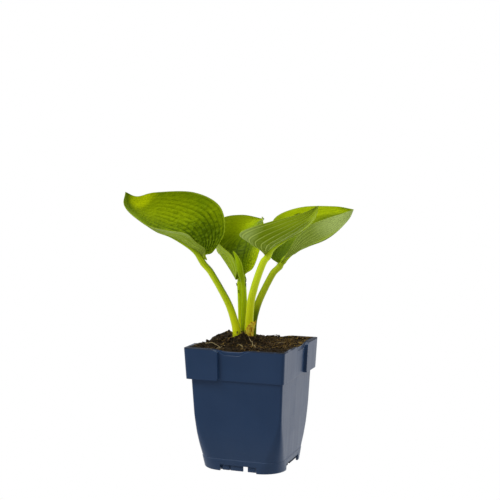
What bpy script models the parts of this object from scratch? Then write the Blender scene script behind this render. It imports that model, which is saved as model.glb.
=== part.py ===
"""A young hosta growing in a square nursery pot.

Lengths are in millimetres; MM turns them into metres where a mesh is made. The pot is
modelled round its own bottom centre. The plant is laid out in a frame turned by PLANT_TURN
about the pot's upright axis: (across, toward, up), with "toward" pointing to the front. That
frame is left-handed, so a cross product in it is written the other way round.
The finished assembly is moved by ground_shift() so that its bounding box stands centred on
the origin.
"""
import math

import bmesh
import bpy
from mathutils import Matrix, Vector, noise

MM = 0.001
GAP = 0.35                     # clearance between two neighbouring pieces

# ---------------------------------------------------------------- pot
POT_HEIGHT = 125.0
WALL = 1.3
NECK_Z = 93.0                  # height of the collar's lower edge
FOOT_HALF = 42.9               # half the width across the feet
NECK_HALF = 48.2               # half the width just under the collar
# Half the width of the body at each height, up to the collar.
BODY_PROFILE = ((0, FOOT_HALF), (12, 43.5), (24, 44.7), (36, 45.6), (60, 46.5),
                (NECK_Z, NECK_HALF))
COLLAR_HALF_LOW = 49.5         # collar, at its lower edge and at the rim
COLLAR_HALF_TOP = 51.2
PANEL_PROUD = 3.0              # how far the two corner panels stand out from the collar
PANEL_STEP = 17.7              # distance of a panel's upright edge from the side's middle
STEP_SLANT = 0.3               # that edge leans by this much to either side
RIM_INNER_HALF = 48.7
RIM_INNER_RADIUS = 1.5
RIM_ROUNDING = 0.4             # rounding of the rim's outer edge
FOOT_CORNER_RADIUS = 23.2
TOP_CORNER_RADIUS = 2.0
COLLAR_CORNER_RADIUS = 3.0
CORNER_BLEND_Z = 60.0          # height where the corners have sharpened to the top radius
CORNER_BLEND_POWER = 1.4
CORNER_STEPS = 4
SOLE_RIDGE_Z = 12.0            # faint ridge that runs round the body above the foot
SOLE_RIDGE_PROUD = 0.3
BODY_LEVELS = (1.2, SOLE_RIDGE_Z - 0.01, SOLE_RIDGE_Z + 0.3, 24.0, 36.0, 48.0, 60.0, 78.0)
INNER_LEVELS = (NECK_Z, 78.0, 60.0, 36.0, 24.0)
FOOT_WIDTH = 2.0               # the wall is this thick where it stands on the ground
FOOT_ROUNDING = 0.6
FLOOR_UNDER = 6.5              # underside and top of the pot's floor
FLOOR_TOP = 7.9
FOOT_SPAN = 19.3               # the wall is raised between the feet, from -span to +span
FOOT_GAP_TOP = 6.2
FOOT_GAP_CUTTER = (35.0, 60.0)     # the gap's cutter, from near to far out of the side
# Tabs behind each gap: the two ends along the side, and how far behind its face.
TABS = ((-16.7, -9.4, 1.0), (-8.4, 5.1, 1.0), (9.9, 18.5, 1.0), (-19.6, 4.6, 2.5))
TAB_LIFTS = (0.8, 3.0)         # height of their lower end, front and back, and at the sides
DRAIN_RADIUS = 4.0
DRAIN_RING = 24.0
DRAIN_COUNT = 8                # round the one in the middle
DRAIN_SIDES = 12
# Hollow in each side of the rim: how far it has come down (0 to 1) along the side.
DIP_KNOTS = ((-24, 0), (-16.3, 0.58), (-11.5, 1), (4, 1), (10, 0.47), (13.8, 0.17), (17, 0))
DIP_SHALLOW = 2.3              # dip of the inner wall and of the outer lip at each side
DIP_DEEP = 6.0
DIP_CUTTER = (40.0, 60.0)
LIP_HALF = 49.9                # the deep dip only cuts the lip outside this line

# ---------------------------------------------------------------- plant
PLANT_TURN = math.radians(19.9)
SOIL_LEVEL = 123.8
SOIL_EDGE_DROP = 0.2           # the soil falls off towards the rim
SOIL_EDGE_WIDTH = 9.0
SOIL_LUMP = 2.4                # height of its lumps, and their two sizes
SOIL_LUMP_SIZES = (9.0, 4.0)
SOIL_LEVELS = (24.0, 50.0, 78.0, NECK_Z, 112.0)
SOIL_BRIM = 118.0              # the flat wall of the soil ends here
SOIL_RINGS = (1.0, 0.93, 0.84, 0.74, 0.64, 0.54, 0.44, 0.34, 0.24, 0.14)
CROWN_PLACE = (-7.0, -7.0)     # across, toward
CROWN_RISE = 10.0
CROWN_SPREAD = 15.0
BANK_X = -42.0                 # a bank of soil along the left side of the pot
BANK_RISE = 4.2
BANK_SPREAD = 8.0
# How much of it stands at each place from the front to the back.
BANK_KNOTS = ((-44, 0), (-34, 0.7), (-24, 0.7), (-15, 0.1), (-6, 0.35), (4, 1), (32, 1),
              (46, 0.4))
ROOT_DEPTH = 12.0              # how far a stem stands in the soil
HOLE_GAP = 0.5                 # clearance between a stem and its hole
HOLE_RISE = 12.0               # a hole's cutter ends this far above the stem's foot
BLADE_THICKNESS = 0.9
VEIN_RELIEF = 0.55             # puckering between the veins, up and down
COLUMNS = 24                   # blade columns; every second one is a vein
ROWS = 12                      # rows at the full number of columns

# Each leaf: the stem's route, the midrib and both margins as hand-placed points
# (across, toward, up), and how deep each half sags between midrib and margin. Left and
# right are as seen from the stem, looking to the tip with the upper side up.
LEAVES = {
    "leaf_left": dict(
        stem=[(-15.4, -4.2, 131), (-17.3, -5, 143), (-23.4, -6, 162), (-33.6, -4, 182),
              (-42.8, -2, 198), (-50, 0, 211)],
        width=(10.6, 8.0), channel=(1, 0.1, 0.4),
        midrib=[(-50, 0, 211), (-56, 1, 218.4), (-66, 2, 225.6), (-82, 3, 234.3), (-98, 4, 240),
                (-113, 5, 251.6), (-126, 3, 263), (-129, 0, 279)],
        left=[(-49, 3, 213), (-48, 8, 221), (-56, 22, 229), (-66, 34, 239), (-86, 40, 243),
              (-105.5, 32, 247.8), (-128, 14, 264.4), (-129, 0, 279)],
        right=[(-47.6, -3, 215), (-40.5, -8, 217), (-28.6, -13, 238), (-34, -18, 264),
               (-61, -22, 278), (-100, -20, 278), (-118, -11, 274), (-129, 0, 279)],
        sag_left=[0, 1, 2, 2.5, 2.6, 1.5, 1, 0], sag_right=[1, 3, 6, 9, 10, 8, 4, 0]),
    "leaf_back": dict(
        stem=[(-9.9, -17.3, 131), (-10, -17.6, 148), (-10.5, -18, 166), (-11.3, -18.8, 182),
              (-12.3, -20, 191)],
        width=(10.4, 9.6), channel=(0, 1, 0.3),
        midrib=[(-12.3, -20, 191), (-12, -21.5, 196), (-11, -24, 202), (-8, -32, 216),
                (-4, -43, 229), (3, -55, 240), (8, -65, 245), (13, -75, 247)],
        left=[(-14.5, -18, 189), (-17.5, -15, 188), (-16, -10, 200), (-21, -8, 213),
              (-36, -14, 228), (-34, -45, 248), (-12, -66, 252), (13, -75, 247)],
        right=[(-11, -18, 190), (-7, -15, 194), (1, -11, 201), (7, -9, 218), (10, -16, 231),
               (12, -34, 242), (10, -60, 250), (13, -75, 247)],
        sag_left=[1, 5.5, 13, 22, 25, 14, 5, 0], sag_right=[1, 3, 5, 6, 7, 5, 3, 0]),
    "leaf_front": dict(
        stem=[(-4.4, -4.5, 131), (-3.4, -2, 145), (-1.6, 3, 167), (2, 8, 183), (7, 13, 199),
              (11.6, 17, 211), (14, 19, 217)],
        width=(8.8, 7.6), channel=(-0.5, -0.8, 0.4),
        midrib=[(14, 19, 217), (17.4, 21, 222), (23, 25, 227), (34, 33, 234),
                (45, 43, 240), (55, 53, 248), (61, 60, 258), (63, 64, 268)],
        right=[(11, 21, 218), (6, 27, 223), (-5, 36, 231), (-13, 46, 239), (-3, 58, 246),
               (21, 68, 254), (47, 70, 261), (63, 64, 268)],
        left=[(15, 17, 218), (17, 15, 222), (20, 17, 228), (26, 22, 239), (37, 28, 248),
              (49, 38, 255), (57, 53, 261), (63, 64, 268)],
        sag_right=[1, 4, 7, 8, 7, 5, 3, 0], sag_left=[1, 2, 4, 5, 5, 4, 2, 0]),
    "leaf_right": dict(
        stem=[(-0.4, -14.4, 131), (1, -14.4, 146), (5.7, -14, 163), (13.3, -13, 180),
              (21.2, -12, 195), (27.8, -12, 205)],
        width=(9.0, 7.6), channel=(-0.7, -0.7, 0.5),
        midrib=[(27.8, -12, 205), (34, -11, 212), (43, -10, 218.6), (57, -8, 224.4),
                (73, -6, 229.8), (86, -4, 238.4), (98, -3, 250.6), (103, -2, 261)],
        right=[(29, -10, 205), (30, -5, 211), (35, 2, 220), (47, 9, 234), (60, 13, 246),
               (76, 12, 253), (90, 6, 257), (103, -2, 261)],
        left=[(26, -14, 205), (19, -20, 210), (16.5, -30, 219), (18, -40, 238),
              (27, -47, 252.4), (53, -46, 261.4), (85, -28, 263), (103, -2, 261)],
        sag_right=[1, 3, 5, 6, 6, 5, 3, 0], sag_left=[1, 3, 6, 9, 10, 8, 4, 0]),
}
UPRIGHT = Vector((0, 0, 1))
STEM_SIDES = 10
STEM_RINGS = 10
STEM_FLATNESS = 0.94           # a stem's depth over its width
STEM_CHANNEL = 0.14            # depth of the channel on its inner side, over its width
RIB_RINGS = 7
RIB_REACH = 0.55               # how far along the midrib the stem runs on under the blade

# The youngest leaf is still rolled up: route and thickness at each point.
YOUNG_ROUTE = [(-10.2, -9.9, 131), (-10, -10.6, 150), (-9.8, -10.8, 170), (-9.6, -9, 184),
               (-11.8, -6, 194), (-13.6, -4, 204), (-16.8, -3.5, 213), (-19.8, -3.5, 218)]
YOUNG_FACING = (0, 1, 0.2)
YOUNG_WIDTH = [3.0, 3.0, 3.2, 4.2, 6.4, 6.8, 3.6, 1.0]
YOUNG_RINGS = 18

# The dry scale of the bud that the leaves came out of, standing round one stem's foot.
SCALE_STEM = "leaf_front"
SCALE_FACING = math.radians(-25)       # the way it faces, from across round to behind
SCALE_WRAP = math.radians(200)         # how far it goes round the stem
SCALE_HEIGHT = 12.0
SCALE_LIFT = 3.5                       # it starts to flare this far above the stem's foot
SCALE_THICKNESS = 0.8
SCALE_FLARE = 1.6
SCALE_RAGGED = 0.8
SCALE_COLUMNS = 8
SCALE_ROWS = (-0.5, 0.0, 0.3, 0.6, 0.85, 1.0)

COLOURS = {
    "pot": (0.020, 0.042, 0.095), "soil": (0.022, 0.014, 0.007),
    "blade": (0.150, 0.260, 0.012), "scale": (0.420, 0.270, 0.050),
}


# ---------------------------------------------------------------- helpers
def clear_scene():
    for old in list(bpy.data.objects):
        bpy.data.objects.remove(old)


def make_material(name, colour, roughness):
    material = bpy.data.materials.new(name)
    material.use_nodes = True
    shader = material.node_tree.nodes["Principled BSDF"]
    shader.inputs["Base Color"].default_value = (*colour, 1.0)
    shader.inputs["Roughness"].default_value = roughness
    shader.inputs["Metallic"].default_value = 0.0
    return material


def add_object(name, mesh, collection, material=None):
    piece = bpy.data.objects.new(name, mesh)
    collection.objects.link(piece)
    if material:
        piece.data.materials.append(material)
    return piece


def finish_mesh(name, bm):
    bmesh.ops.recalc_face_normals(bm, faces=bm.faces)
    mesh = bpy.data.meshes.new(name)
    bm.to_mesh(mesh)
    bm.free()
    return mesh


def loft(name, rings):
    """Closed solid through rings of equally many points, each end closed by a fan."""
    bm = bmesh.new()
    loops = [[bm.verts.new(Vector(point) * MM) for point in ring] for ring in rings]
    count = len(rings[0])
    for low, high in zip(loops, loops[1:]):
        for i in range(count):
            j = (i + 1) % count
            bm.faces.new((low[i], low[j], high[j], high[i]))
    for loop in (loops[0], loops[-1]):
        middle = bm.verts.new(sum((v.co for v in loop), Vector()) / count)
        for i in range(count):
            bm.faces.new((loop[i], loop[(i + 1) % count], middle))
    bmesh.ops.triangulate(bm, faces=bm.faces)
    return finish_mesh(name, bm)


def boolean(target, tool, operation):
    """Join or cut target with an object or a collection of objects."""
    modifier = target.modifiers.new(operation.lower(), "BOOLEAN")
    modifier.operation = operation
    modifier.solver = "EXACT"
    if isinstance(tool, bpy.types.Collection):
        modifier.operand_type = "COLLECTION"
        modifier.collection = tool
    else:
        modifier.object = tool


def hide_tool(piece):
    piece.hide_render = True
    piece.display_type = "WIRE"
    return piece


def smooth(points, t):
    """Point at t (0..1) on a smooth curve through the points (Catmull-Rom)."""
    points = [Vector(p) if hasattr(p, "__len__") else Vector((p, 0, 0)) for p in points]
    points = [2 * points[0] - points[1], *points, 2 * points[-1] - points[-2]]
    place = t * (len(points) - 3)
    i = min(int(place), len(points) - 4)
    f = place - i
    a, b, c, d = points[i:i + 4]
    return 0.5 * (2 * b + (c - a) * f + (2 * a - 5 * b + 4 * c - d) * f * f
                  + (3 * b - a - 3 * c + d) * f ** 3)


def direction(points, t):
    return smooth(points, min(t + 0.01, 1)) - smooth(points, max(t - 0.01, 0))


def smooth_value(values, t):
    return smooth(values, t).x


def plant_to_pot(point):
    """(across, toward, up) in the plant's frame to x, y, z in the pot's."""
    across, toward, up = point
    c, s = math.cos(PLANT_TURN), math.sin(PLANT_TURN)
    return Vector((across * c + toward * s, across * s - toward * c, up))


# ---------------------------------------------------------------- pot
def between(knots, x):
    """Height at x of a line through the knots, level beyond its ends."""
    for (x0, y0), (x1, y1) in zip(knots, knots[1:]):
        if x < x1:
            return y0 + (y1 - y0) * max(0.0, x - x0) / (x1 - x0)
    return knots[-1][1]


def corner_radius(z):
    blend = max(0.0, 1.0 - z / CORNER_BLEND_Z)
    sharpened = FOOT_CORNER_RADIUS - TOP_CORNER_RADIUS
    return TOP_CORNER_RADIUS + sharpened * blend ** CORNER_BLEND_POWER


def inner_radius(z):
    return max(corner_radius(z) - WALL, 1.0)


def body_half(z):
    return between(BODY_PROFILE, z) + (SOLE_RIDGE_PROUD if z < SOLE_RIDGE_Z else 0.0)


def inner_half(z):
    rise = max(0.0, z - NECK_Z) / (POT_HEIGHT - NECK_Z)
    half = between(BODY_PROFILE, z) - WALL
    return half + (RIM_INNER_HALF - half) * rise


def pot_ring(half, radius, z, proud=0.0):
    """Rounded square; the front-left and back-right corners may stand proud."""
    ring = []
    for turn in range(4):
        heading = math.radians(-135 + 90 * turn)
        reach = half + (proud if turn % 2 == 0 else 0.0)
        after = half + (proud if turn % 2 == 1 else 0.0)
        centre = (reach - radius) * math.sqrt(2)
        for i in range(CORNER_STEPS + 1):
            angle = heading - math.pi / 4 + math.pi / 2 * i / CORNER_STEPS
            ring.append((centre * math.cos(heading) + radius * math.cos(angle),
                         centre * math.sin(heading) + radius * math.sin(angle), z))
        side = Matrix.Rotation(math.pi / 2 * turn, 2)
        step = -PANEL_STEP if turn % 2 == 0 else PANEL_STEP
        for along, out in ((step - STEP_SLANT, reach), (step + STEP_SLANT, after)):
            spot = side @ Vector((along, -out))
            ring.append((spot.x, spot.y, z))
    return ring


def dip_outline(depth):
    """Smooth hollow cut down into the rim, as a flat outline (along, up)."""
    above = POT_HEIGHT + 4
    outline = [(along, POT_HEIGHT + 0.2 - depth * level) for along, level in DIP_KNOTS]
    return outline + [(DIP_KNOTS[-1][0], above), (DIP_KNOTS[0][0], above)]


def outline_tool(name, outline, near, far, heading, tools):
    """Prism of a flat (along, up) outline, from near to far out of one side's face."""
    curve = bpy.data.curves.new(name, "CURVE")
    curve.dimensions = "2D"
    curve.fill_mode = "BOTH"
    curve.extrude = (far - near) / 2 * MM
    spline = curve.splines.new("POLY")
    spline.points.add(len(outline) - 1)
    spline.use_cyclic_u = True
    for knot, (along, up) in zip(spline.points, outline):
        knot.co = (along * MM, up * MM, 0.0, 1.0)
    flat = bpy.data.objects.new(name, curve)
    tools.objects.link(flat)
    flat.matrix_world = (Matrix.Rotation(heading, 4, "Z")
                         @ Matrix.Translation((0, -(near + far) / 2 * MM, 0))
                         @ Matrix.Rotation(math.pi / 2, 4, "X"))
    bpy.context.view_layer.update()
    mesh = bpy.data.meshes.new_from_object(flat.evaluated_get(
        bpy.context.evaluated_depsgraph_get()))
    mesh.transform(flat.matrix_world)
    bpy.data.objects.remove(flat)
    bm = bmesh.new()
    bm.from_mesh(mesh)
    bmesh.ops.remove_doubles(bm, verts=bm.verts, dist=0.00001)
    bm.to_mesh(mesh)
    bm.free()
    return hide_tool(add_object(name, mesh, tools))


def box_outline(left, right, low, high):
    return [(left, low), (right, low), (right, high), (left, high)]


def make_pot(parts, tools, material):
    rings = [pot_ring(inner_half(0), FOOT_CORNER_RADIUS - WALL, FLOOR_UNDER)]
    rings += [pot_ring(FOOT_HALF - inset, FOOT_CORNER_RADIUS - inset, 0.0)
              for inset in (FOOT_WIDTH, FOOT_ROUNDING)]
    rings += [pot_ring(body_half(z), corner_radius(z), z) for z in BODY_LEVELS]
    rings += [pot_ring(NECK_HALF, TOP_CORNER_RADIUS, NECK_Z),
              pot_ring(COLLAR_HALF_LOW, COLLAR_CORNER_RADIUS, NECK_Z, PANEL_PROUD),
              pot_ring(COLLAR_HALF_TOP, COLLAR_CORNER_RADIUS, POT_HEIGHT - RIM_ROUNDING,
                       PANEL_PROUD),
              pot_ring(COLLAR_HALF_TOP - RIM_ROUNDING, COLLAR_CORNER_RADIUS - RIM_ROUNDING,
                       POT_HEIGHT, PANEL_PROUD),
              pot_ring(RIM_INNER_HALF, RIM_INNER_RADIUS, POT_HEIGHT)]
    rings += [pot_ring(inner_half(z), inner_radius(z), z) for z in (*INNER_LEVELS, FLOOR_TOP)]
    pot = add_object("pot", loft("pot", rings), parts, material)

    for turn in range(4):
        heading = math.pi / 2 * turn
        mirror = 1 if turn % 2 == 0 else -1
        for label, depth, near in (("inner", DIP_SHALLOW, DIP_CUTTER[0]),
                                   ("lip", DIP_DEEP, LIP_HALF)):
            outline = [(mirror * along, up) for along, up in dip_outline(depth)]
            boolean(pot, outline_tool(f"dip_{label}_{turn}", outline, near, DIP_CUTTER[1],
                                      heading, tools), "DIFFERENCE")
        gap = box_outline(-FOOT_SPAN, FOOT_SPAN, -2.0, FOOT_GAP_TOP)
        boolean(pot, outline_tool(f"foot_gap_{turn}", gap, *FOOT_GAP_CUTTER, heading, tools),
                "DIFFERENCE")
    add_tabs(pot, tools)
    drill_drains(pot, tools)
    return pot


def add_tabs(pot, tools):
    """Short upright tabs under the floor, behind the gap between the feet of each side."""
    tabs = bpy.data.collections.new("tabs")
    tools.children.link(tabs)
    for turn in range(4):
        mirror = 1 if turn % 2 == 0 else -1
        for i, (*ends, setback) in enumerate(TABS):
            left, right = sorted(mirror * end for end in ends)
            face = FOOT_HALF - setback
            outline = box_outline(left, right, TAB_LIFTS[turn % 2],
                                  (FLOOR_UNDER + FLOOR_TOP) / 2)
            outline_tool(f"tab_{turn}_{i}", outline, face - WALL, face,
                         math.pi / 2 * turn, tabs)
    boolean(pot, tabs, "UNION")


def drill_drains(pot, tools):
    """Round drain holes through the floor, one in the middle and the rest in a ring."""
    spots = [(0.0, 0.0)]
    for i in range(DRAIN_COUNT):
        angle = math.tau * i / DRAIN_COUNT
        spots.append((DRAIN_RING * math.cos(angle), DRAIN_RING * math.sin(angle)))
    for i, (x, y) in enumerate(spots):
        bpy.ops.mesh.primitive_cylinder_add(
            vertices=DRAIN_SIDES, radius=DRAIN_RADIUS * MM, depth=8 * MM,
            location=(x * MM, y * MM, FLOOR_UNDER * MM))
        drill = bpy.context.object
        drill.name = f"drain_{i}"
        for home in list(drill.users_collection):
            home.objects.unlink(drill)
        tools.objects.link(hide_tool(drill))
        boolean(pot, drill, "DIFFERENCE")


# ---------------------------------------------------------------- soil
def even_ring(half, radius, z, sides=10, corner=3):
    """Rounded square with evenly spread points."""
    ring = []
    for turn in range(4):
        frame = Matrix.Rotation(math.pi / 2 * turn, 2)
        for i in range(sides):
            along = -(half - radius) + 2 * (half - radius) * i / sides
            ring.append(frame @ Vector((along, -half)))
        for i in range(corner):
            angle = -math.pi / 2 + math.pi / 2 * i / corner
            ring.append(frame @ Vector((half - radius + radius * math.cos(angle),
                                        radius - half + radius * math.sin(angle))))
    return [(spot.x, spot.y, z) for spot in ring]


def soil_height(x, y):
    crown = plant_to_pot((*CROWN_PLACE, 0))
    away = (Vector((x, y)) - crown.xy).length
    inside = RIM_INNER_HALF - max(abs(x), abs(y))
    edge = max(0.0, 1 - inside / SOIL_EDGE_WIDTH)
    large, small = SOIL_LUMP_SIZES
    lump = (noise.noise(Vector((x, y, 3.7)) / large)
            + 0.5 * noise.noise(Vector((x, y, 9)) / small))
    bank = BANK_RISE * between(BANK_KNOTS, y) * math.exp(-((x - BANK_X) / BANK_SPREAD) ** 2)
    return (SOIL_LEVEL + SOIL_LUMP * lump - SOIL_EDGE_DROP * edge ** 2 + bank
            + CROWN_RISE * math.exp(-(away / CROWN_SPREAD) ** 2))


def make_soil(parts, tools, material, hole_shapes):
    rings = [even_ring(inner_half(z) - GAP, inner_radius(z), z)
             for z in (FLOOR_TOP + GAP, *SOIL_LEVELS)]
    brim = even_ring(inner_half(SOIL_BRIM) - GAP, RIM_INNER_RADIUS, SOIL_BRIM)
    for share in SOIL_RINGS:
        rings.append([(x * share, y * share, soil_height(x * share, y * share))
                      for x, y, _ in brim])
    soil = add_object("soil", loft("soil", rings), parts, material)
    holes = bpy.data.collections.new("stem_holes")
    tools.children.link(holes)
    for name, rings in hole_shapes.items():
        holes.objects.link(hide_tool(add_object(f"hole_{name}", loft(name, rings), tools)))
    boolean(soil, holes, "DIFFERENCE")
    return soil


# ---------------------------------------------------------------- leaves
def blade_point(leaf, u, v):
    """Point on a blade: u from base to tip, v from -1 (left margin) to 1 (right margin)."""
    spine = smooth(leaf["midrib"], u)
    along = direction(leaf["midrib"], u)
    side, sag = ("left", "sag_left") if v < 0 else ("right", "sag_right")
    reach = smooth(leaf[side], u) - spine
    lift = reach.cross(along) * (1 if v < 0 else -1)
    lift.normalize()
    w = abs(v)
    depth = smooth_value(leaf[sag], u) * 4 * w * (1 - w) * (1.25 - 0.5 * w)
    fade = min(1.0, 4 * w, 6 * (1 - w)) * math.sin(math.pi * u) ** 0.5
    pucker = -VEIN_RELIEF * math.cos(math.pi * COLUMNS / 2 * v) * fade
    return spine + reach * w + lift * (pucker - depth)


def blade_rows():
    """(u, number of columns) of each row: the columns fan out from both ends."""
    inner = [(0.13 + 0.74 * i / (ROWS - 1), COLUMNS) for i in range(ROWS)]
    base = [(0.0, COLUMNS // 8), (0.035, COLUMNS // 4), (0.08, COLUMNS // 2)]
    tip = [(0.91, COLUMNS // 2), (0.95, COLUMNS // 4), (0.98, COLUMNS // 8)]
    return base + inner + tip


def sheet_mesh(name, rows, tip=None):
    """Open surface through rows of points; a row may have half the columns of the next."""
    bm = bmesh.new()
    rows = [[bm.verts.new(plant_to_pot(spot) * MM) for spot in row] for row in rows]
    for low, high in zip(rows, rows[1:]):
        if len(low) == len(high):
            for i in range(len(low) - 1):
                bm.faces.new((low[i], low[i + 1], high[i + 1]))
                bm.faces.new((low[i], high[i + 1], high[i]))
            continue
        few, many = sorted((low, high), key=len)
        for i in range(len(few) - 1):
            bm.faces.new((few[i], many[2 * i], many[2 * i + 1]))
            bm.faces.new((few[i], many[2 * i + 1], few[i + 1]))
            bm.faces.new((few[i + 1], many[2 * i + 1], many[2 * i + 2]))
    if tip:
        point = bm.verts.new(plant_to_pot(tip) * MM)
        for left, right in zip(rows[-1], rows[-1][1:]):
            bm.faces.new((left, right, point))
    return finish_mesh(name, bm)


def thicken(piece, thickness):
    solid = piece.modifiers.new("thickness", "SOLIDIFY")
    solid.thickness = thickness * MM
    solid.offset = 0.0
    solid.use_even_offset = False


def blade_mesh(name, leaf):
    rows = [[blade_point(leaf, u, 2 * i / count - 1) for i in range(count + 1)]
            for u, count in blade_rows()]
    return sheet_mesh(name, rows, leaf["midrib"][-1])


def stem_section(centre, along, channel, width, dent=0.0, flatness=STEM_FLATNESS):
    """One ring of a stem: an oval with a channel (dent) along its inner side."""
    along = along.normalized()
    inward = Vector(channel)
    inward = (inward - along * inward.dot(along)).normalized()
    side = along.cross(inward)
    ring = []
    for i in range(STEM_SIDES):
        angle = 2 * math.pi * i / STEM_SIDES
        out, up = math.cos(angle), math.sin(angle)
        inset = dent * width * max(0.0, up) ** 3
        spot = centre + side * out * width / 2 + inward * (up * width / 2 * flatness - inset)
        ring.append(plant_to_pot(spot))
    return ring


def root_rings(route, channel, width):
    """The two upright rings of a stem's foot, down in the soil."""
    return [stem_section(Vector(route[0]) - UPRIGHT * back, UPRIGHT, channel, width)
            for back in (ROOT_DEPTH, 3.0)]


def stem_centre(route, up):
    """Middle of a stem at a height; below its foot it goes straight down."""
    low, high = 0.0, 1.0
    if up <= route[0][2]:
        return Vector((*route[0][:2], up))
    for _ in range(20):
        middle = (low + high) / 2
        low, high = (middle, high) if smooth(route, middle).z < up else (low, middle)
    return smooth(route, low)


def hole_rings(route, channel, width, flatness):
    """Cutter for the plain hole that a stem stands in."""
    return [stem_section(stem_centre(route, route[0][2] + rise), UPRIGHT, channel,
                         width + 2 * HOLE_GAP, 0.0, flatness)
            for rise in (-ROOT_DEPTH - HOLE_GAP, 0.0, HOLE_RISE / 2, HOLE_RISE)]


def stem_rings(leaf):
    """Rings of a stem from its foot in the soil to the rib under the blade."""
    route = leaf["stem"]
    wide, slim = leaf["width"]
    rings = root_rings(route, leaf["channel"], wide)
    for i in range(STEM_RINGS + 1):
        t = 0.97 * i / STEM_RINGS
        width = wide + (slim - wide) * min(1.0, t * 1.6)
        dent = STEM_CHANNEL * min(1.0, 5 * t)
        rings.append(stem_section(smooth(route, t), direction(route, t), leaf["channel"],
                                  width, dent))
    for i in range(1, RIB_RINGS + 1):
        u = RIB_REACH * i / RIB_RINGS
        centre = smooth(leaf["midrib"], u)
        along = direction(leaf["midrib"], u)
        left = smooth(leaf["left"], u) - centre
        right = smooth(leaf["right"], u) - centre
        lift = (left.cross(along).normalized() - right.cross(along).normalized()).normalized()
        width = slim * (1 - 0.78 * (i / RIB_RINGS) ** 0.7)
        rings.append(stem_section(centre - lift * width * 0.3, along, lift, width))
    return rings


def make_leaf(name, leaf, parts, tools, material):
    blade = add_object(name, blade_mesh(name, leaf), parts, material)
    thicken(blade, BLADE_THICKNESS)
    stem = hide_tool(add_object(f"{name}_stem", loft(name, stem_rings(leaf)), tools))
    boolean(blade, stem, "UNION")
    return blade


def young_rings():
    rings = root_rings(YOUNG_ROUTE, YOUNG_FACING, YOUNG_WIDTH[0])
    for i in range(YOUNG_RINGS + 1):
        t = i / YOUNG_RINGS
        rings.append(stem_section(smooth(YOUNG_ROUTE, t), direction(YOUNG_ROUTE, t),
                                  YOUNG_FACING, smooth_value(YOUNG_WIDTH, t)))
    return rings


# ---------------------------------------------------------------- bud scale
def make_scale(parts, material):
    """A thin curved scale round one stem's foot, narrowing to a ragged point."""
    route = LEAVES[SCALE_STEM]["stem"]
    radius = LEAVES[SCALE_STEM]["width"][0] / 2 + GAP + SCALE_THICKNESS / 2
    rows = []
    for level in SCALE_ROWS:
        rise = max(level, 0.0)
        centre = stem_centre(route, route[0][2] + SCALE_LIFT + level * SCALE_HEIGHT)
        wrap = SCALE_WRAP * (1 - 0.55 * rise ** 2)
        row = []
        for i in range(SCALE_COLUMNS + 1):
            angle = SCALE_FACING + (i / SCALE_COLUMNS - 0.5) * wrap
            ragged = rise * SCALE_RAGGED * (i % 2)
            reach = radius + SCALE_FLARE * rise
            row.append(centre + Vector((reach * math.cos(angle), -reach * math.sin(angle),
                                        -ragged)))
        rows.append(row)
    scale = add_object("bud_scale", sheet_mesh("bud_scale", rows), parts, material)
    thicken(scale, SCALE_THICKNESS)


# ---------------------------------------------------------------- assembly
def ground_shift(parts):
    """The move that sets the assembly's box centred over the origin, standing on z = 0."""
    bpy.context.view_layer.update()
    graph = bpy.context.evaluated_depsgraph_get()
    corners = []
    for piece in parts.objects:
        solid = piece.evaluated_get(graph)
        corners += [piece.matrix_world @ vertex.co for vertex in solid.data.vertices]
    middle = [(min(c[i] for c in corners) + max(c[i] for c in corners)) / 2 for i in (0, 1)]
    return Vector((-middle[0], -middle[1], -min(c.z for c in corners)))


def build():
    clear_scene()
    parts = bpy.data.collections.new("potted_hosta")
    tools = bpy.data.collections.new("tools")
    for group in (parts, tools):
        bpy.context.scene.collection.children.link(group)
    plastic = make_material("pot_plastic", COLOURS["pot"], 0.38)
    peat = make_material("peat", COLOURS["soil"], 0.95)
    green = make_material("leaf_green", COLOURS["blade"], 0.45)
    husk = make_material("dry_scale", COLOURS["scale"], 0.8)

    make_pot(parts, tools, plastic)
    holes = {"leaf_young": hole_rings(YOUNG_ROUTE, YOUNG_FACING, YOUNG_WIDTH[0],
                                      STEM_FLATNESS)}
    for name, leaf in LEAVES.items():
        make_leaf(name, leaf, parts, tools, green)
        width, flatness = leaf["width"][0], STEM_FLATNESS
        if name == SCALE_STEM:
            width, flatness = width + 2 * (GAP + SCALE_THICKNESS), 1.0
        holes[name] = hole_rings(leaf["stem"], leaf["channel"], width, flatness)
    add_object("leaf_young", loft("leaf_young", young_rings()), parts, green)
    make_scale(parts, husk)
    make_soil(parts, tools, peat, holes)

    shift = ground_shift(parts)
    for piece in list(parts.objects) + list(tools.all_objects):
        piece.data.transform(Matrix.Translation(piece.matrix_world.inverted().to_3x3() @ shift))
    bpy.context.view_layer.update()


build()
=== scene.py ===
"""The looks of a young hosta in a square nursery pot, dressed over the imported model."""
import functools
import math
import random

import bmesh
import bpy
from mathutils import Matrix, Vector, noise


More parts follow.
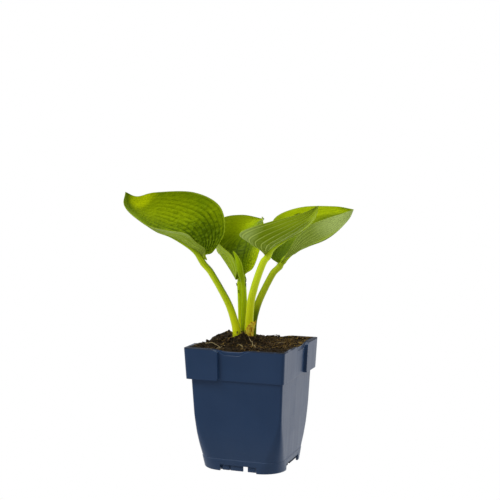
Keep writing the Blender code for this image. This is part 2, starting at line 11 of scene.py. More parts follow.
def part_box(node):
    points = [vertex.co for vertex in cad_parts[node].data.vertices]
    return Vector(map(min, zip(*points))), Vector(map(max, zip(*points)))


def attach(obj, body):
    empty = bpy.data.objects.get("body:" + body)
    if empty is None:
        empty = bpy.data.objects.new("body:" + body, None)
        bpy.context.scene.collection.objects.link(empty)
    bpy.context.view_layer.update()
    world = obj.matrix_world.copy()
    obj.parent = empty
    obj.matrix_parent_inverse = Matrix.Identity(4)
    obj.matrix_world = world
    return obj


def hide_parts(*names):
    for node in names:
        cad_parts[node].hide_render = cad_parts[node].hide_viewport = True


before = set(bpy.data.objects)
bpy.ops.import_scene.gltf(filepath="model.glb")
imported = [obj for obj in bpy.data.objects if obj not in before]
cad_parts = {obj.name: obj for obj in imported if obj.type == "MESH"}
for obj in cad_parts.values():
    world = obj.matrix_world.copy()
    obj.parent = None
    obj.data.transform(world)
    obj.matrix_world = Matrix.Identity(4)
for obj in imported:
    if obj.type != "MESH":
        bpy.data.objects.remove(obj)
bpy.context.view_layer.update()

# ---------------------------------------------------------------- camera
# It stands a little above the rim, in front of the pot and to its right, and looks slightly
# down. Everything below is laid out in millimetres round the middle of the pot's foot.
MM = 0.001
VIEW_TURN = math.radians(19.894)
VIEW_DOWN = math.radians(5.003)
VIEW_DISTANCE = 1124.8
VIEW_HEIGHT = 219.7
VIEW_SHIFT_LEFT = 2.565
LENS = 79.45

pot_low, pot_high = (Vector(corner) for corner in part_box("pot"))
pot_foot = Vector(((pot_low.x + pot_high.x) / 2, (pot_low.y + pot_high.y) / 2, 0.0))
across = Vector((math.cos(VIEW_TURN), math.sin(VIEW_TURN), 0.0))
toward = Vector((math.sin(VIEW_TURN), -math.cos(VIEW_TURN), 0.0))
backward = toward * math.cos(VIEW_DOWN) + Vector((0, 0, math.sin(VIEW_DOWN)))

camera = bpy.data.objects.new("camera", bpy.data.cameras.new("camera"))
bpy.context.scene.collection.objects.link(camera)
camera.data.lens = LENS
facing = Matrix((across, backward.cross(across), backward)).transposed()
camera.matrix_world = facing.to_4x4()
camera.location = (pot_foot + Vector((0, 0, VIEW_HEIGHT)) * MM
                   - across * VIEW_SHIFT_LEFT * MM + backward * VIEW_DISTANCE * MM)
bpy.context.scene.camera = camera

# ---------------------------------------------------------------- pot
# A thin-walled square nursery pot, injection moulded in navy polypropylene: round corners at
# the foot that sharpen upward, a stepped collar with two proud corner panels, a hollow in
# each side of the rim, and a raised edge between the feet with tabs behind it.
POT_HEIGHT = 125.0
WALL = 1.3
NECK_Z = 93.0
FOOT_HALF = 42.9
BODY_PROFILE = ((0, FOOT_HALF), (12, 43.5), (24, 44.7), (36, 45.6), (60, 46.5), (NECK_Z, 48.2))
COLLAR_HALF_LOW = 49.5
COLLAR_HALF_TOP = 51.2
PANEL_PROUD = 3.0
PANEL_STEP = 17.7
PANEL_CORNER = 3.0
STEP_SOFTNESS = 0.3
LIP_HALF = 49.9
LIP_RADIUS = 2.2
RIM_INNER_HALF = 48.7
RIM_INNER_RADIUS = 1.5
FOOT_CORNER_RADIUS = 23.2
TOP_CORNER_RADIUS = 2.0
COLLAR_CORNER_RADIUS = 3.0
CORNER_BLEND_Z = 60.0
CORNER_BLEND_POWER = 1.4
SOLE_RIDGE_Z = 12.0
SOLE_RIDGE_PROUD = 0.3
FOOT_WIDTH = 2.0
FOOT_SPAN = 19.3
FOOT_GAP_TOP = 6.2
FOOT_GAP_BLEND = 10.3
FOOT_GAP_SOFTNESS = 0.1
SIDE_FLAT = 19.6
CORNER_COLUMNS = 24
FLOOR_UNDER = 6.5
FLOOR_TOP = 7.9
FLOOR_INTO_WALL = 0.3
DRAINS = 8
DRAIN_RADIUS = 4.0
DRAIN_RING = 24.0
# Tabs: the two ends along the side, and how far behind its face.
TABS = ((-16.7, -9.4, 1.0), (-8.4, 5.1, 1.0), (9.9, 18.5, 1.0), (-19.6, 4.6, 2.5))
TAB_LIFTS = (0.8, 3.0)
TAB_TOP = 7.2
DIP_KNOTS = ((-24, 0), (-16.3, 0.58), (-11.5, 1), (4, 1), (10, 0.47), (13.8, 0.17), (17, 0))
DIP_SHALLOW = 2.3
DIP_DEEP = 6.0
LIP_STEP = 0.25
RIM_BLEND_Z = 112.0
NAVY = (0.0140, 0.0355, 0.0860)
NAVY_LIGHTER = (0.0290, 0.0520, 0.1020)
NAVY_SOIL_AND_SHADE = (0.0070, 0.0110, 0.0200)
# Where soil clings on the rim's top, and where painted shade darkens the inside of the foot, as
# (clean, darkened) in metres.
RIM_SOILED = (0.1234, 0.1246)
FOOT_SHADED = (0.0350, 0.0335)
FOOT_SHADED_Z = (0.012, 0.008)
# Where painted shade darkens the right side's tabs, in metres: their back and face, top, and half
# length.
TABS_BACK, TABS_FACE = (0.0385, 0.0395), (0.0424, 0.0420)
TABS_TOP, TABS_END = (0.0076, 0.0070), (0.0194, 0.0188)
MERGE_WITHIN = 0.004
PALEST = 0.76                  # the strongest channel that a colour may have when toned


def between(knots, x):
    """Height at x of a line through the knots, level beyond its ends."""
    for (x0, y0), (x1, y1) in zip(knots, knots[1:]):
        if x < x1:
            return y0 + (y1 - y0) * max(0.0, x - x0) / (x1 - x0)
    return knots[-1][1]


def ease(x):
    x = min(1.0, max(0.0, x))
    return x * x * (3 - 2 * x)


def sheet(name, columns, rows, place):
    """A grid of points, each put in millimetres where place(column, row) says."""
    bpy.ops.mesh.primitive_grid_add(x_subdivisions=columns, y_subdivisions=rows, size=1)
    piece = bpy.context.object
    piece.name = piece.data.name = name
    for vertex in piece.data.vertices:
        column = round((vertex.co.x + 0.5) * columns)
        row = round((vertex.co.y + 0.5) * rows)
        vertex.co = Vector(place(column, row)) * MM + pot_foot
    return piece


def choose(*pieces):
    """Select these pieces and no others, with the first one active."""
    bpy.ops.object.select_all(action="DESELECT")
    for piece in pieces:
        piece.select_set(True)
    bpy.context.view_layer.objects.active = pieces[0]


def edit(piece, *steps):
    """Run edit-mode operators, given as (operator, settings), on the whole of a piece."""
    choose(piece)
    bpy.ops.object.mode_set(mode="EDIT")
    bpy.ops.mesh.select_all(action="SELECT")
    for operator, settings in steps:
        operator(**settings)
    bpy.ops.object.mode_set(mode="OBJECT")
    return piece


# Steps for edit(): pick the open edges, merge doubled points, and turn all faces outward.
PICK_OPEN_EDGES = ((bpy.ops.mesh.select_all, {"action": "DESELECT"}),
                   (bpy.ops.mesh.select_non_manifold, {}))
MERGE = (bpy.ops.mesh.remove_doubles, {"threshold": MERGE_WITHIN * MM})
FACE_OUTWARD = ((bpy.ops.mesh.select_all, {"action": "SELECT"}),
                (bpy.ops.mesh.normals_make_consistent, {}))


def close_up(piece):
    """Merge a rolled sheet's seam and poles, cap its ends and turn its faces outward."""
    return edit(piece, MERGE, *PICK_OPEN_EDGES, (bpy.ops.mesh.fill_holes, {"sides": 0}),
                *FACE_OUTWARD)


def modify(piece, kind, **settings):
    """Add a modifier with its settings and apply it."""
    choose(piece)
    modifier = piece.modifiers.new(kind.lower(), kind)
    for key, value in settings.items():
        setattr(modifier, key, value)
    bpy.ops.object.modifier_apply(modifier=modifier.name)
    return piece


def smooth_shade(piece, degrees=45):
    choose(piece)
    bpy.ops.object.shade_smooth_by_angle(angle=math.radians(degrees))
    return piece


def thicken(piece, thickness, degrees, **settings):
    """Give a sheet its thickness, half of it on either side."""
    modify(piece, "SOLIDIFY", thickness=thickness * MM, offset=0.0, **settings)
    return smooth_shade(piece, degrees)


def join(name, pieces):
    """Make one mesh of several pieces."""
    choose(*pieces)
    bpy.ops.object.join()
    pieces[0].name = pieces[0].data.name = name
    return pieces[0]


def plug(node, inputs):
    """Set a node's inputs, or link those whose value is a wire."""
    for key, value in inputs.items():
        socket = node.inputs[key]
        if isinstance(value, Wire):
            value.tree.links.new(value.socket, socket)
        else:
            socket.default_value = (*value, 1.0) if socket.type == "RGBA" else value


class Wire:
    """A socket in a material; arithmetic on it adds Math nodes, and add() any other node."""

    def __init__(self, tree, socket=None):
        self.tree = tree
        self.socket = socket

    def add(self, kind, settings=None, inputs=None, out=0):
        node = self.tree.nodes.new("ShaderNode" + kind)
        for key, value in (settings or {}).items():
            setattr(node, key, value)
        plug(node, inputs or {})
        return Wire(self.tree, node.outputs[out])

    def call(self, operation, *values):
        """A Math node on this wire and then a value, or on two given values."""
        if len(values) < 2:
            values = (self, *values)
        return self.add("Math", {"operation": operation}, dict(enumerate(values)))

    def __add__(self, other):
        return self.call("ADD", other)

    def __sub__(self, other):
        return self.call("SUBTRACT", other)

    def __rsub__(self, other):
        return self.call("SUBTRACT", other, self)

    def __mul__(self, other):
        return self.call("MULTIPLY", other)

    __radd__ = __add__
    __rmul__ = __mul__

    def __pow__(self, other):
        return self.call("POWER", other)

    def size(self):
        return self.call("ABSOLUTE")

    def least(self, other):
        return self.call("MINIMUM", other)

    def most(self, other):
        return self.call("MAXIMUM", other)

    def ramp(self, low, high):
        """0 at low, 1 at high, eased between them."""
        return self.add("MapRange", {"interpolation_type": "SMOOTHSTEP"},
                        {"Value": self, "From Min": low, "From Max": high})

    def blend(self, first, second):
        """Colour between first and second, with this wire as the share of the second."""
        return self.add("Mix", {"data_type": "RGBA"}, {0: self, 6: first, 7: second}, out=2)

    def stretch(self, *scale):
        """This vector wire scaled along x, y and z."""
        return self.add("Mapping", {}, {"Vector": self, "Scale": scale})

    def noise(self, scale, detail=3.0, roughness=0.55):
        """Noise between about 0.25 and 0.75 on this vector wire."""
        return self.add("TexNoise", {}, {"Vector": self, "Scale": scale, "Detail": detail,
                                         "Roughness": roughness})

    def part(self, index):
        """One of the three parts of this vector wire."""
        return self.add("SeparateXYZ", {}, {0: self}, out=index)


# Where a material can start from: a piece's own coordinates in metres, or its UV map.
PLACE = ("TexCoord", {}, {}, 3)
UV = ("UVMap",)


def start_material(name, *sources):
    """A new material, and a wire from each of its sources."""
    material = bpy.data.materials.new(name)
    material.use_nodes = True
    return material, *(Wire(material.node_tree).add(*source) for source in sources)


def finish_material(material, colour, roughness, heights=(), **constants):
    """Link colour, roughness and bumps; heights holds (wire, distance in mm) pairs."""
    inputs = {key.replace("_", " "): value for key, value in constants.items()}
    inputs |= {"Base Color": colour, "Roughness": roughness}
    for wire, distance in heights:
        under = {"Normal": inputs["Normal"]} if "Normal" in inputs else {}
        inputs["Normal"] = wire.add("Bump", {}, {"Height": wire, "Distance": distance * MM,
                                                 "Strength": 1.0, **under})
    plug(material.node_tree.nodes["Principled BSDF"], inputs)
    return material


def toned(colour, tone):
    """The colour made darker, or lighter up to what a dyed or living thing can be."""
    tone = min(tone, PALEST / max(colour))
    return tuple(tone * channel for channel in colour)


def dress(piece, slot_name, node_names, *materials):
    """Give a piece its materials and place on the body; hide the imported nodes it stands for."""
    if materials:
        piece.data.materials.clear()
        for material in materials:
            piece.data.materials.append(material)
    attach(piece, "root")
    if node_names:
        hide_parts(*node_names)


def corner_radius(z):
    blend = max(0.0, 1.0 - z / CORNER_BLEND_Z) ** CORNER_BLEND_POWER
    return TOP_CORNER_RADIUS + (FOOT_CORNER_RADIUS - TOP_CORNER_RADIUS) * blend


def inner_radius(z):
    return max(corner_radius(z) - WALL, 1.0)


def body_half(z):
    below = ease((SOLE_RIDGE_Z + STEP_SOFTNESS - z) / (2 * STEP_SOFTNESS))
    return between(BODY_PROFILE, z) + SOLE_RIDGE_PROUD * below


def inner_half(z):
    rise = max(0.0, z - NECK_Z) / (POT_HEIGHT - NECK_Z)
    half = between(BODY_PROFILE, z) - WALL
    return half + (RIM_INNER_HALF - half) * rise


def panel_share(m, z):
    """1 where a proud corner panel stands, 0 beside it; m is the way along the side."""
    inside = -PANEL_STEP - m
    above = z - NECK_Z + STEP_SOFTNESS
    depth = min(inside, above)
    if inside < PANEL_CORNER and above < PANEL_CORNER:
        depth = PANEL_CORNER - math.hypot(PANEL_CORNER - inside, PANEL_CORNER - above)
    return ease((depth + STEP_SOFTNESS) / (2 * STEP_SOFTNESS))


def collar_half(m, z):
    rise = (z - NECK_Z) / (POT_HEIGHT - NECK_Z)
    half = COLLAR_HALF_LOW + (COLLAR_HALF_TOP - COLLAR_HALF_LOW) * rise
    return half + PANEL_PROUD * panel_share(m, z)


def side_spot(station, half, radius):
    """(along, out) on one side of a rounded square. A station is the way along in mm up to
    SIDE_FLAT, and beyond it the share of what is left up to the middle of the corner."""
    reach = abs(station)
    if reach <= SIDE_FLAT:
        return station, half
    straight = max(0.0, half - radius - SIDE_FLAT)
    path = (reach - SIDE_FLAT) * (straight + radius * math.pi / 4)
    if path <= straight:
        return math.copysign(SIDE_FLAT + path, station), half
    angle = (path - straight) / radius
    return (math.copysign(half - radius + radius * math.sin(angle), station),
            half - radius + radius * math.cos(angle))


def on_side(turn, along, out):
    """x, y of a spot on one of the four sides."""
    return Matrix.Rotation(math.pi / 2 * turn, 2) @ Vector((along, -out))


def hand(turn):
    """Two facing sides are the mirror image of the other two: 1 or -1."""
    return 1 if turn % 2 == 0 else -1


def pot_ring():
    """(side, station) all round the pot and back to the first, close at the steps."""
    flat = [1.4 * i for i in range(12)]
    flat += [16.4, 17.1, 17.4, 17.55, 17.7, 17.85, 18.0, 18.4, 18.9, 19.2, 19.4, SIDE_FLAT]
    half = flat + [SIDE_FLAT + 1 - (1 - i / CORNER_COLUMNS) ** 1.6
                   for i in range(1, CORNER_COLUMNS + 1)]
    stations = [-station for station in reversed(half[1:])] + half[:-1]
    ring = [(turn, station) for turn in range(4) for station in stations]
    return ring + ring[:1]


def wall_rows():
    """Rows of the wall as (part, level, inset): up its outside, over the rim, down its
    inside and back to the first. They lie close together where the outline bends."""
    body = [1.2, 2, 3, 4, 5, 6, 7.5, 9, 10.2, 11.2, 11.7, 11.85, 12, 12.15, 12.3, 12.7, 13.5]
    body += [15 + 2.5 * i for i in range(31)] + [91.3, 92.2, 92.7, 92.99]
    collar = [NECK_Z + 0.35 + 0.35 * i for i in range(10)]
    collar += [98 + 2.2 * i for i in range(12)] + [123.6, 124.3]
    rows = [("outside", 0, 0.6), ("outside", 0.15, 0.2), ("outside", 0.6, 0)]
    rows += [("outside", z, 0) for z in body]
    rows += [("outside", NECK_Z, 0.45), ("outside", NECK_Z + 0.1, 0.12)]
    rows += [("outside", z, 0) for z in collar]
    rows += [("lip", -0.15, 0.12), ("lip", 0.0, 0.45), ("band", 0.0, 0.15),
             ("band", 0.25, 0.0), ("band", 0.75, 0.0), ("band", 0.95, -0.1),
             ("band", 1.0, -0.35), ("mouth", 0.0, 0.35), ("mouth", -0.35, 0.0)]
    rows += [("inside", z, 0) for z in (123, 120, 115, 108, 100, 93, 78, 64, 50, 37, 24, 12, 6)]
    rows += [("inside", z, FOOT_WIDTH - WALL) for z in (3, 0)]
    return rows + rows[:1]


def rim_dip(along):
    """How far the hollow in a side of the rim has come down, 0 to 1."""
    return sum(between(DIP_KNOTS, along + shift) for shift in (-1.2, 0.0, 1.2)) / 3


def wall_spot(turn, station, row):
    part, level, inset = row
    if part == "outside" and level < NECK_Z:
        half, radius = body_half(level) - inset, corner_radius(level) - inset
    elif part in ("outside", "lip"):
        half = collar_half(hand(turn) * station, POT_HEIGHT if part == "lip" else level) - inset
        radius = COLLAR_CORNER_RADIUS - inset
    elif part == "band":
        half, radius = LIP_HALF + inset, LIP_RADIUS
    elif part == "mouth":
        half, radius = RIM_INNER_HALF + inset, RIM_INNER_RADIUS
    else:
        half, radius = inner_half(level) - inset, inner_radius(level)
    along, out = side_spot(station, half, radius)
    dip = rim_dip(hand(turn) * along)
    lip_z = POT_HEIGHT - LIP_STEP - (DIP_DEEP - LIP_STEP) * dip
    band_z = POT_HEIGHT - DIP_SHALLOW * dip
    if part == "lip":
        z = lip_z + level
    elif part == "band":
        z = lip_z + (band_z - lip_z) * level
    elif part == "mouth":
        z = band_z + level
    elif level > RIM_BLEND_Z:
        top = lip_z if part == "outside" else band_z
        z = RIM_BLEND_Z + (level - RIM_BLEND_Z) * (top - RIM_BLEND_Z) / (POT_HEIGHT - RIM_BLEND_Z)
    elif level < FOOT_GAP_BLEND:
        inside_gap = (FOOT_SPAN + FOOT_GAP_SOFTNESS - abs(station)) / (2 * FOOT_GAP_SOFTNESS)
        low = FOOT_GAP_TOP * ease(inside_gap)
        z = low + level * (FOOT_GAP_BLEND - low) / FOOT_GAP_BLEND
    else:
        z = level
    return *on_side(turn, along, out), z


def make_pot_wall():
    ring, rows = pot_ring(), wall_rows()
    wall = sheet("pot_wall", len(ring) - 1, len(rows) - 1,
                 lambda i, j: wall_spot(*ring[i], rows[j]))
    return smooth_shade(close_up(wall), 50)


def make_pot_floor():
    """The floor with its round drain holes, sprung from the wall just above the feet."""
    bpy.ops.mesh.primitive_plane_add(size=2 * (inner_half(FLOOR_UNDER) + FLOOR_INTO_WALL) * MM,
                                     location=pot_foot + Vector((0, 0, FLOOR_UNDER)) * MM)
    floor = bpy.context.object
    bpy.ops.object.transform_apply()
    edit(floor, (bpy.ops.mesh.bevel, {"offset": (FOOT_CORNER_RADIUS - WALL) * MM,
                                      "segments": 10, "affect": "VERTICES"}))
    modify(floor, "SOLIDIFY", thickness=(FLOOR_TOP - FLOOR_UNDER) * MM, offset=1.0)
    turns = [math.tau / DRAINS * i for i in range(DRAINS)]
    for x, y in [(0, 0)] + [(math.cos(turn), math.sin(turn)) for turn in turns]:
        bpy.ops.mesh.primitive_cylinder_add(
            vertices=32, radius=DRAIN_RADIUS * MM, depth=8 * MM,
            location=pot_foot + Vector((DRAIN_RING * x, DRAIN_RING * y, FLOOR_UNDER)) * MM)
        drill = bpy.context.object
        modify(floor, "BOOLEAN", object=drill, operation="DIFFERENCE", solver="EXACT")
        bpy.data.objects.remove(drill)
    modify(floor, "BEVEL", width=0.25 * MM, segments=2, limit_method="ANGLE")
    return smooth_shade(floor, 35)


def make_tabs():
    """Short upright tabs behind the raised edge between the feet of each side."""
    for turn in range(4):
        low = TAB_LIFTS[turn % 2]
        for *ends, setback in TABS:
            left, right = sorted(hand(turn) * end for end in ends)
            spot = on_side(turn, (left + right) / 2, FOOT_HALF - setback - WALL / 2)
            bpy.ops.mesh.primitive_cube_add(
                size=1, rotation=(0, 0, math.pi / 2 * turn),
                scale=Vector((right - left, WALL, TAB_TOP - low)) * MM,
                location=pot_foot + Vector((*spot, (TAB_TOP + low) / 2)) * MM)
            bpy.ops.object.transform_apply()
            tab = modify(bpy.context.object, "BEVEL", width=0.3 * MM, segments=2)
            yield smooth_shade(tab, 35)


def make_pot_plastic():
    """Satin navy plastic: upright flow streaks, a fine grain, pale rubs and a smooth lightening
    low down, soil on the rim, and painted shade inside the foot and on the right side's tabs."""
    material, place = start_material("pot_plastic", PLACE)
    streaks = place.stretch(1.0, 1.0, 0.07).noise(160, 3)
    cloud, grain = place.noise(22, 2), place.noise(2600, 2)
    scuffs = place.stretch(1.0, 1.0, 5.0).noise(90, 5, 0.7).ramp(0.60, 0.74)
    rightward, height = place.part(0) - pot_foot.x, place.part(2)
    low_down = 1.0 - height.ramp(0.004, 0.055)
    # Pale rubs, and a smooth lightening towards the foot.
    rubs_and_lightening = scuffs * (0.12 + 0.4 * low_down) + low_down * 0.45
    colour = (cloud.ramp(0.35, 0.65) * 0.5).blend(NAVY, toned(NAVY, 1.15))
    beside = (place.part(1) - pot_foot.y).size()
    # Painted shade inside the foot and on the right side's tabs; the patches on the rim's top are
    # soil.
    rim = height.ramp(*RIM_SOILED) * place.noise(70, 3).ramp(0.34, 0.46)
    foot = rightward.size().most(beside).ramp(*FOOT_SHADED) * height.ramp(*FOOT_SHADED_Z)
    tabs = (rightward.ramp(*TABS_BACK) * rightward.ramp(*TABS_FACE)
            * height.ramp(*TABS_TOP) * beside.ramp(*TABS_END))
    soil_and_shade = rim.most(foot).most(tabs)
    colour = (soil_and_shade * 0.85).blend(rubs_and_lightening.blend(colour, NAVY_LIGHTER), NAVY_SOIL_AND_SHADE)
    roughness = (0.36 + (streaks - 0.5) * 0.16 + (cloud - 0.5) * 0.10 + scuffs * 0.12
                 + soil_and_shade * 0.45)
    return finish_material(material, colour, roughness,
                           ((streaks, 0.10), (cloud, 0.5), (grain, 0.012)),
                           Specular_IOR_Level=0.34)


dress(join("pot_moulding", [make_pot_wall(), make_pot_floor(), *make_tabs()]),
      "pot_plastic", ["pot"], make_pot_plastic())

# ---------------------------------------------------------------- peat
# Dark potting peat filled to just under the rim and heaped a little round the stems. Its
# top is crumbly: a rough skin, with loose clods and crumbs lying on it.
PLANT_TURN = math.radians(19.9)
SOIL_LEVEL = 123.8
SOIL_EDGE_DROP = 0.2
SOIL_EDGE_BAND = 9.0
SOIL_LUMP = 2.4
CROWN_PLACE = (-10.0, -3.0)
CROWN_RISE = 10.5
CROWN_SPREAD = 16.0
BANK_X = -42.0
BANK_RISE = 4.2
BANK_SPREAD = 8.0
BANK_KNOTS = ((-44, 0), (-34, 0.7), (-24, 0.7), (-15, 0.1), (-6, 0.35), (4, 1), (32, 1),
              (46, 0.4))
BACK_BANK_Y = 43.0
BACK_BANK_RISE = 2.2
BACK_BANK_SPREAD = 5.0
BACK_BANK_KNOTS = ((-34, 0), (-22, 1), (12, 1), (15, 0))
TOP_CELLS = 190
TOP_DEPTH = 5.0
BRIM_BLEND = 5.0
BRIM_LIFT = 0.25
BRIM_OVERLAP = 0.8
WALL_CLEARANCE = 0.35
LITTER_HALF = inner_half(118) - 3       # how far out loose pieces lie
CLODS = 90
CRUMBS = 420
PEAT_DARK = (0.0060, 0.0040, 0.0012)
PEAT_BROWN = (0.026, 0.015, 0.0035)
PEAT_GOLD = (0.235, 0.145, 0.026)
CLOD_DARK = (0.012, 0.008, 0.004)
CLOD_BROWN = (0.060, 0.034, 0.013)


def plant_to_pot(point):
    """(across, toward, up) in the plant's turned frame to x, y, z in the pot's."""
    c, s = math.cos(PLANT_TURN), math.sin(PLANT_TURN)
    return Vector((point[0] * c + point[1] * s, point[0] * s - point[1] * c, point[2]))


def soil_height(x, y):
    away = (Vector((x, y)) - plant_to_pot((*CROWN_PLACE, 0)).xy).length
    edge = max(0.0, max(abs(x), abs(y)) - RIM_INNER_HALF + SOIL_EDGE_BAND) / SOIL_EDGE_BAND
    lump = noise.noise(Vector((x, y, 3.7)) / 9.0) + 0.5 * noise.noise(Vector((x, y, 9)) / 4)
    bank = BANK_RISE * between(BANK_KNOTS, y) * math.exp(-((x - BANK_X) / BANK_SPREAD) ** 2)
    bank += (BACK_BANK_RISE * between(BACK_BANK_KNOTS, x)
             * math.exp(-((y - BACK_BANK_Y) / BACK_BANK_SPREAD) ** 2))
    return (SOIL_LEVEL + SOIL_LUMP * lump - SOIL_EDGE_DROP * edge ** 2 + bank
            + CROWN_RISE * math.exp(-(away / CROWN_SPREAD) ** 2))


def brim_height(x, y):
    """Height of the rim's inner edge on the side of the pot that (x, y) is nearest to."""
    for turn in range(4):
        spot = Matrix.Rotation(-math.pi / 2 * turn, 2) @ Vector((x, y))
        if -spot.y >= abs(spot.x):
            return POT_HEIGHT - DIP_SHALLOW * rim_dip(hand(turn) * spot.x)
    return POT_HEIGHT


def crumbly_height(x, y):
    """Height of the peat's rough skin: the heap with clods and pits of a few millimetres,
    running out a little over the brim."""
    coarse = noise.turbulence(Vector((x, y, 1.3)) / 5.0, 3, False)
    fine = noise.noise(Vector((x, y, 6.1)) / 1.5)
    heap = soil_height(x, y) + 1.5 * (coarse - 0.15) + 0.45 * fine - 0.5
    edge = ease((max(abs(x), abs(y)) - RIM_INNER_HALF + BRIM_BLEND) / BRIM_BLEND)
    return heap + (brim_height(x, y) + BRIM_LIFT + 0.5 * fine - heap) * edge


def make_peat_top():
    half = RIM_INNER_HALF + BRIM_OVERLAP

    def place(i, j):
        x = (2 * i / TOP_CELLS - 1) * half
        y = (2 * j / TOP_CELLS - 1) * half
        return x, y, crumbly_height(x, y)

    lower = {"TRANSFORM_OT_translate": {"value": (0, 0, -TOP_DEPTH * MM)}}
    top = edit(sheet("peat_top", TOP_CELLS, TOP_CELLS, place), *PICK_OPEN_EDGES,
               (bpy.ops.mesh.extrude_region_move, lower), (bpy.ops.mesh.edge_face_add, {}),
               *FACE_OUTWARD)
    return smooth_shade(top, 60)


def make_peat_body():
    levels = [FLOOR_TOP + WALL_CLEARANCE, 12, 24, 37, 50, 64, 78, NECK_Z, 104, 118.5]
    ring = pot_ring()

    def place(i, j):
        turn, station = ring[i]
        half = inner_half(levels[j]) - WALL_CLEARANCE
        return *on_side(turn, *side_spot(station, half, inner_radius(levels[j]))), levels[j]

    return smooth_shade(close_up(sheet("peat_body", len(ring) - 1, len(levels) - 1, place)))


def make_clod(name, subdivisions, seed):
    """One rough lump, about a unit across."""
    bpy.ops.mesh.primitive_ico_sphere_add(subdivisions=subdivisions, radius=0.5)
    clod = bpy.context.object
    clod.name = clod.data.name = name
    for vertex in clod.data.vertices:
        swell = noise.noise(vertex.co * 2.6 + Vector((seed, 0, 0)))
        vertex.co *= 1 + 0.55 * swell
        vertex.co.z *= 0.7
    return clod


def scatter(name, model, places):
    """Copies of one model, each with its own size, turn and place, in one mesh."""
    lumps = bmesh.new()
    for matrix in places:
        copy = model.data.copy()
        copy.transform(matrix)
        lumps.from_mesh(copy)
        bpy.data.meshes.remove(copy)
    mesh = bpy.data.meshes.new(name)
    lumps.to_mesh(mesh)
    lumps.free()
    bpy.data.objects.remove(model)
    piece = bpy.data.objects.new(name, mesh)
    bpy.context.scene.collection.objects.link(piece)
    return smooth_shade(piece, 60)


def lump_places(count, small, large, seed):
    """Seeded places on the peat, sunk a third of their height into it."""
    chance = random.Random(seed)
    for _ in range(count):
        x, y = (chance.uniform(-LITTER_HALF, LITTER_HALF) for _ in "xy")
        size = chance.uniform(small, large)
        spot = Vector((x, y, crumbly_height(x, y) + 0.15 * size)) * MM + pot_foot
        turn = Matrix.Rotation(chance.uniform(0, math.tau), 4,
                               (chance.random(), chance.random(), 1))
        shape = Matrix.Diagonal((size * MM * chance.uniform(0.7, 1.3), size * MM,
                                 size * MM * chance.uniform(0.7, 1.1), 1))
        yield Matrix.Translation(spot) @ turn @ shape


def make_peat(name, dark, brown):
    """Near-black peat with brown crumbs and blotches of golden fibre dust."""
    material, place = start_material(name, PLACE)
    blotch = place.noise(95, 4, 0.6)
    speck = place.noise(620, 3, 0.7)
    dust = place.noise(240, 5, 0.75)
    mixed = speck.ramp(0.42, 0.66).blend(dark, brown)
    far_right = (place.part(0) + place.part(1)).ramp(0.030, 0.065)
    golden = (blotch.ramp(0.50, 0.64) + far_right * 1.3) * dust.ramp(0.50, 0.64)
    return finish_material(material, golden.blend(mixed, PEAT_GOLD), 0.95,
                           ((dust, 0.9), (speck, 0.5)), Specular_IOR_Level=0.12)


peat = make_peat("peat_crumbly", PEAT_DARK, PEAT_BROWN)
clod_peat = make_peat("peat_clods", CLOD_DARK, CLOD_BROWN)
dress(make_peat_top(), "peat", ["soil"], peat)
dress(make_peat_body(), "peat", ["soil"], peat)
dress(scatter("peat_clods", make_clod("clod", 3, 4.0), lump_places(CLODS, 2.0, 4.6, 11)),
      "peat", [], clod_peat)
dress(scatter("peat_crumbs", make_clod("crumb", 2, 9.0), lump_places(CRUMBS, 0.7, 2.0, 12)),
      "peat", [], clod_peat)

# ---------------------------------------------------------------- fibres and straws
# Golden coir and moss threads worked into the peat, thin dark rootlets, and a few pale
# straws that lie across it near the stems.
FIBRE_GOLD = (0.230, 0.140, 0.034)
FIBRE_DARK = (0.050, 0.028, 0.011)
TUFTS = ((28, 20), (36, 2), (22, 28), (38, 22), (30, 10))
TUFT_SHARE = 0.65
STRAW_PALE = (0.420, 0.330, 0.160)
# Straws: (across, toward) of the two ends, and the arch between them.
STRAWS = (((-4.5, 3.0), (1.5, 25.0), 2.6), ((-1.5, 20.0), (4.0, 33.0), 1.2),
          ((-48.0, 14.0), (-31.0, 24.0), 1.8), ((-40.0, 30.0), (-27.0, 21.0), 1.4),
          ((-14.0, 20.0), (-9.0, 30.0), 2.0), ((22.0, 2.0), (36.0, -9.0), 1.5))


def thread_curve(name, threads):
    """One mesh of thin tubes; each thread is (points, radius), in millimetres."""
    curve = bpy.data.curves.new(name, "CURVE")
    curve.dimensions = "3D"
    curve.bevel_depth = MM
    curve.bevel_resolution = 1
    curve.use_fill_caps = True
    curve.resolution_u = 3
    for points, radius in threads:
        spline = curve.splines.new("NURBS")
        spline.points.add(len(points) - 1)
        spline.use_endpoint_u = True
        spline.order_u = 3
        for knot, point in zip(spline.points, points):
            knot.co = (*(Vector(point) * MM + pot_foot), 1.0)
            knot.radius = radius
    thread = bpy.data.objects.new(name, curve)
    bpy.context.scene.collection.objects.link(thread)
    choose(thread)
    bpy.ops.object.convert(target="MESH")
    return edit(smooth_shade(thread, 80),
                (bpy.ops.mesh.remove_doubles, {"threshold": 0.001 * MM}))


def lying_thread(chance, x, y, length, lift):
    """A thread that wanders over the peat from (x, y), now and then dipping into it."""
    heading = chance.uniform(0, math.tau)
    points = []
    for i in range(6):
        rise = lift * math.sin(math.pi * i / 5) + chance.uniform(-0.5, 0.5)
        points.append((x, y, crumbly_height(x, y) + 0.25 + rise))
        heading += chance.uniform(-0.6, 0.6)
        x += length / 5 * math.cos(heading)
        y += length / 5 * math.sin(heading)
    return points


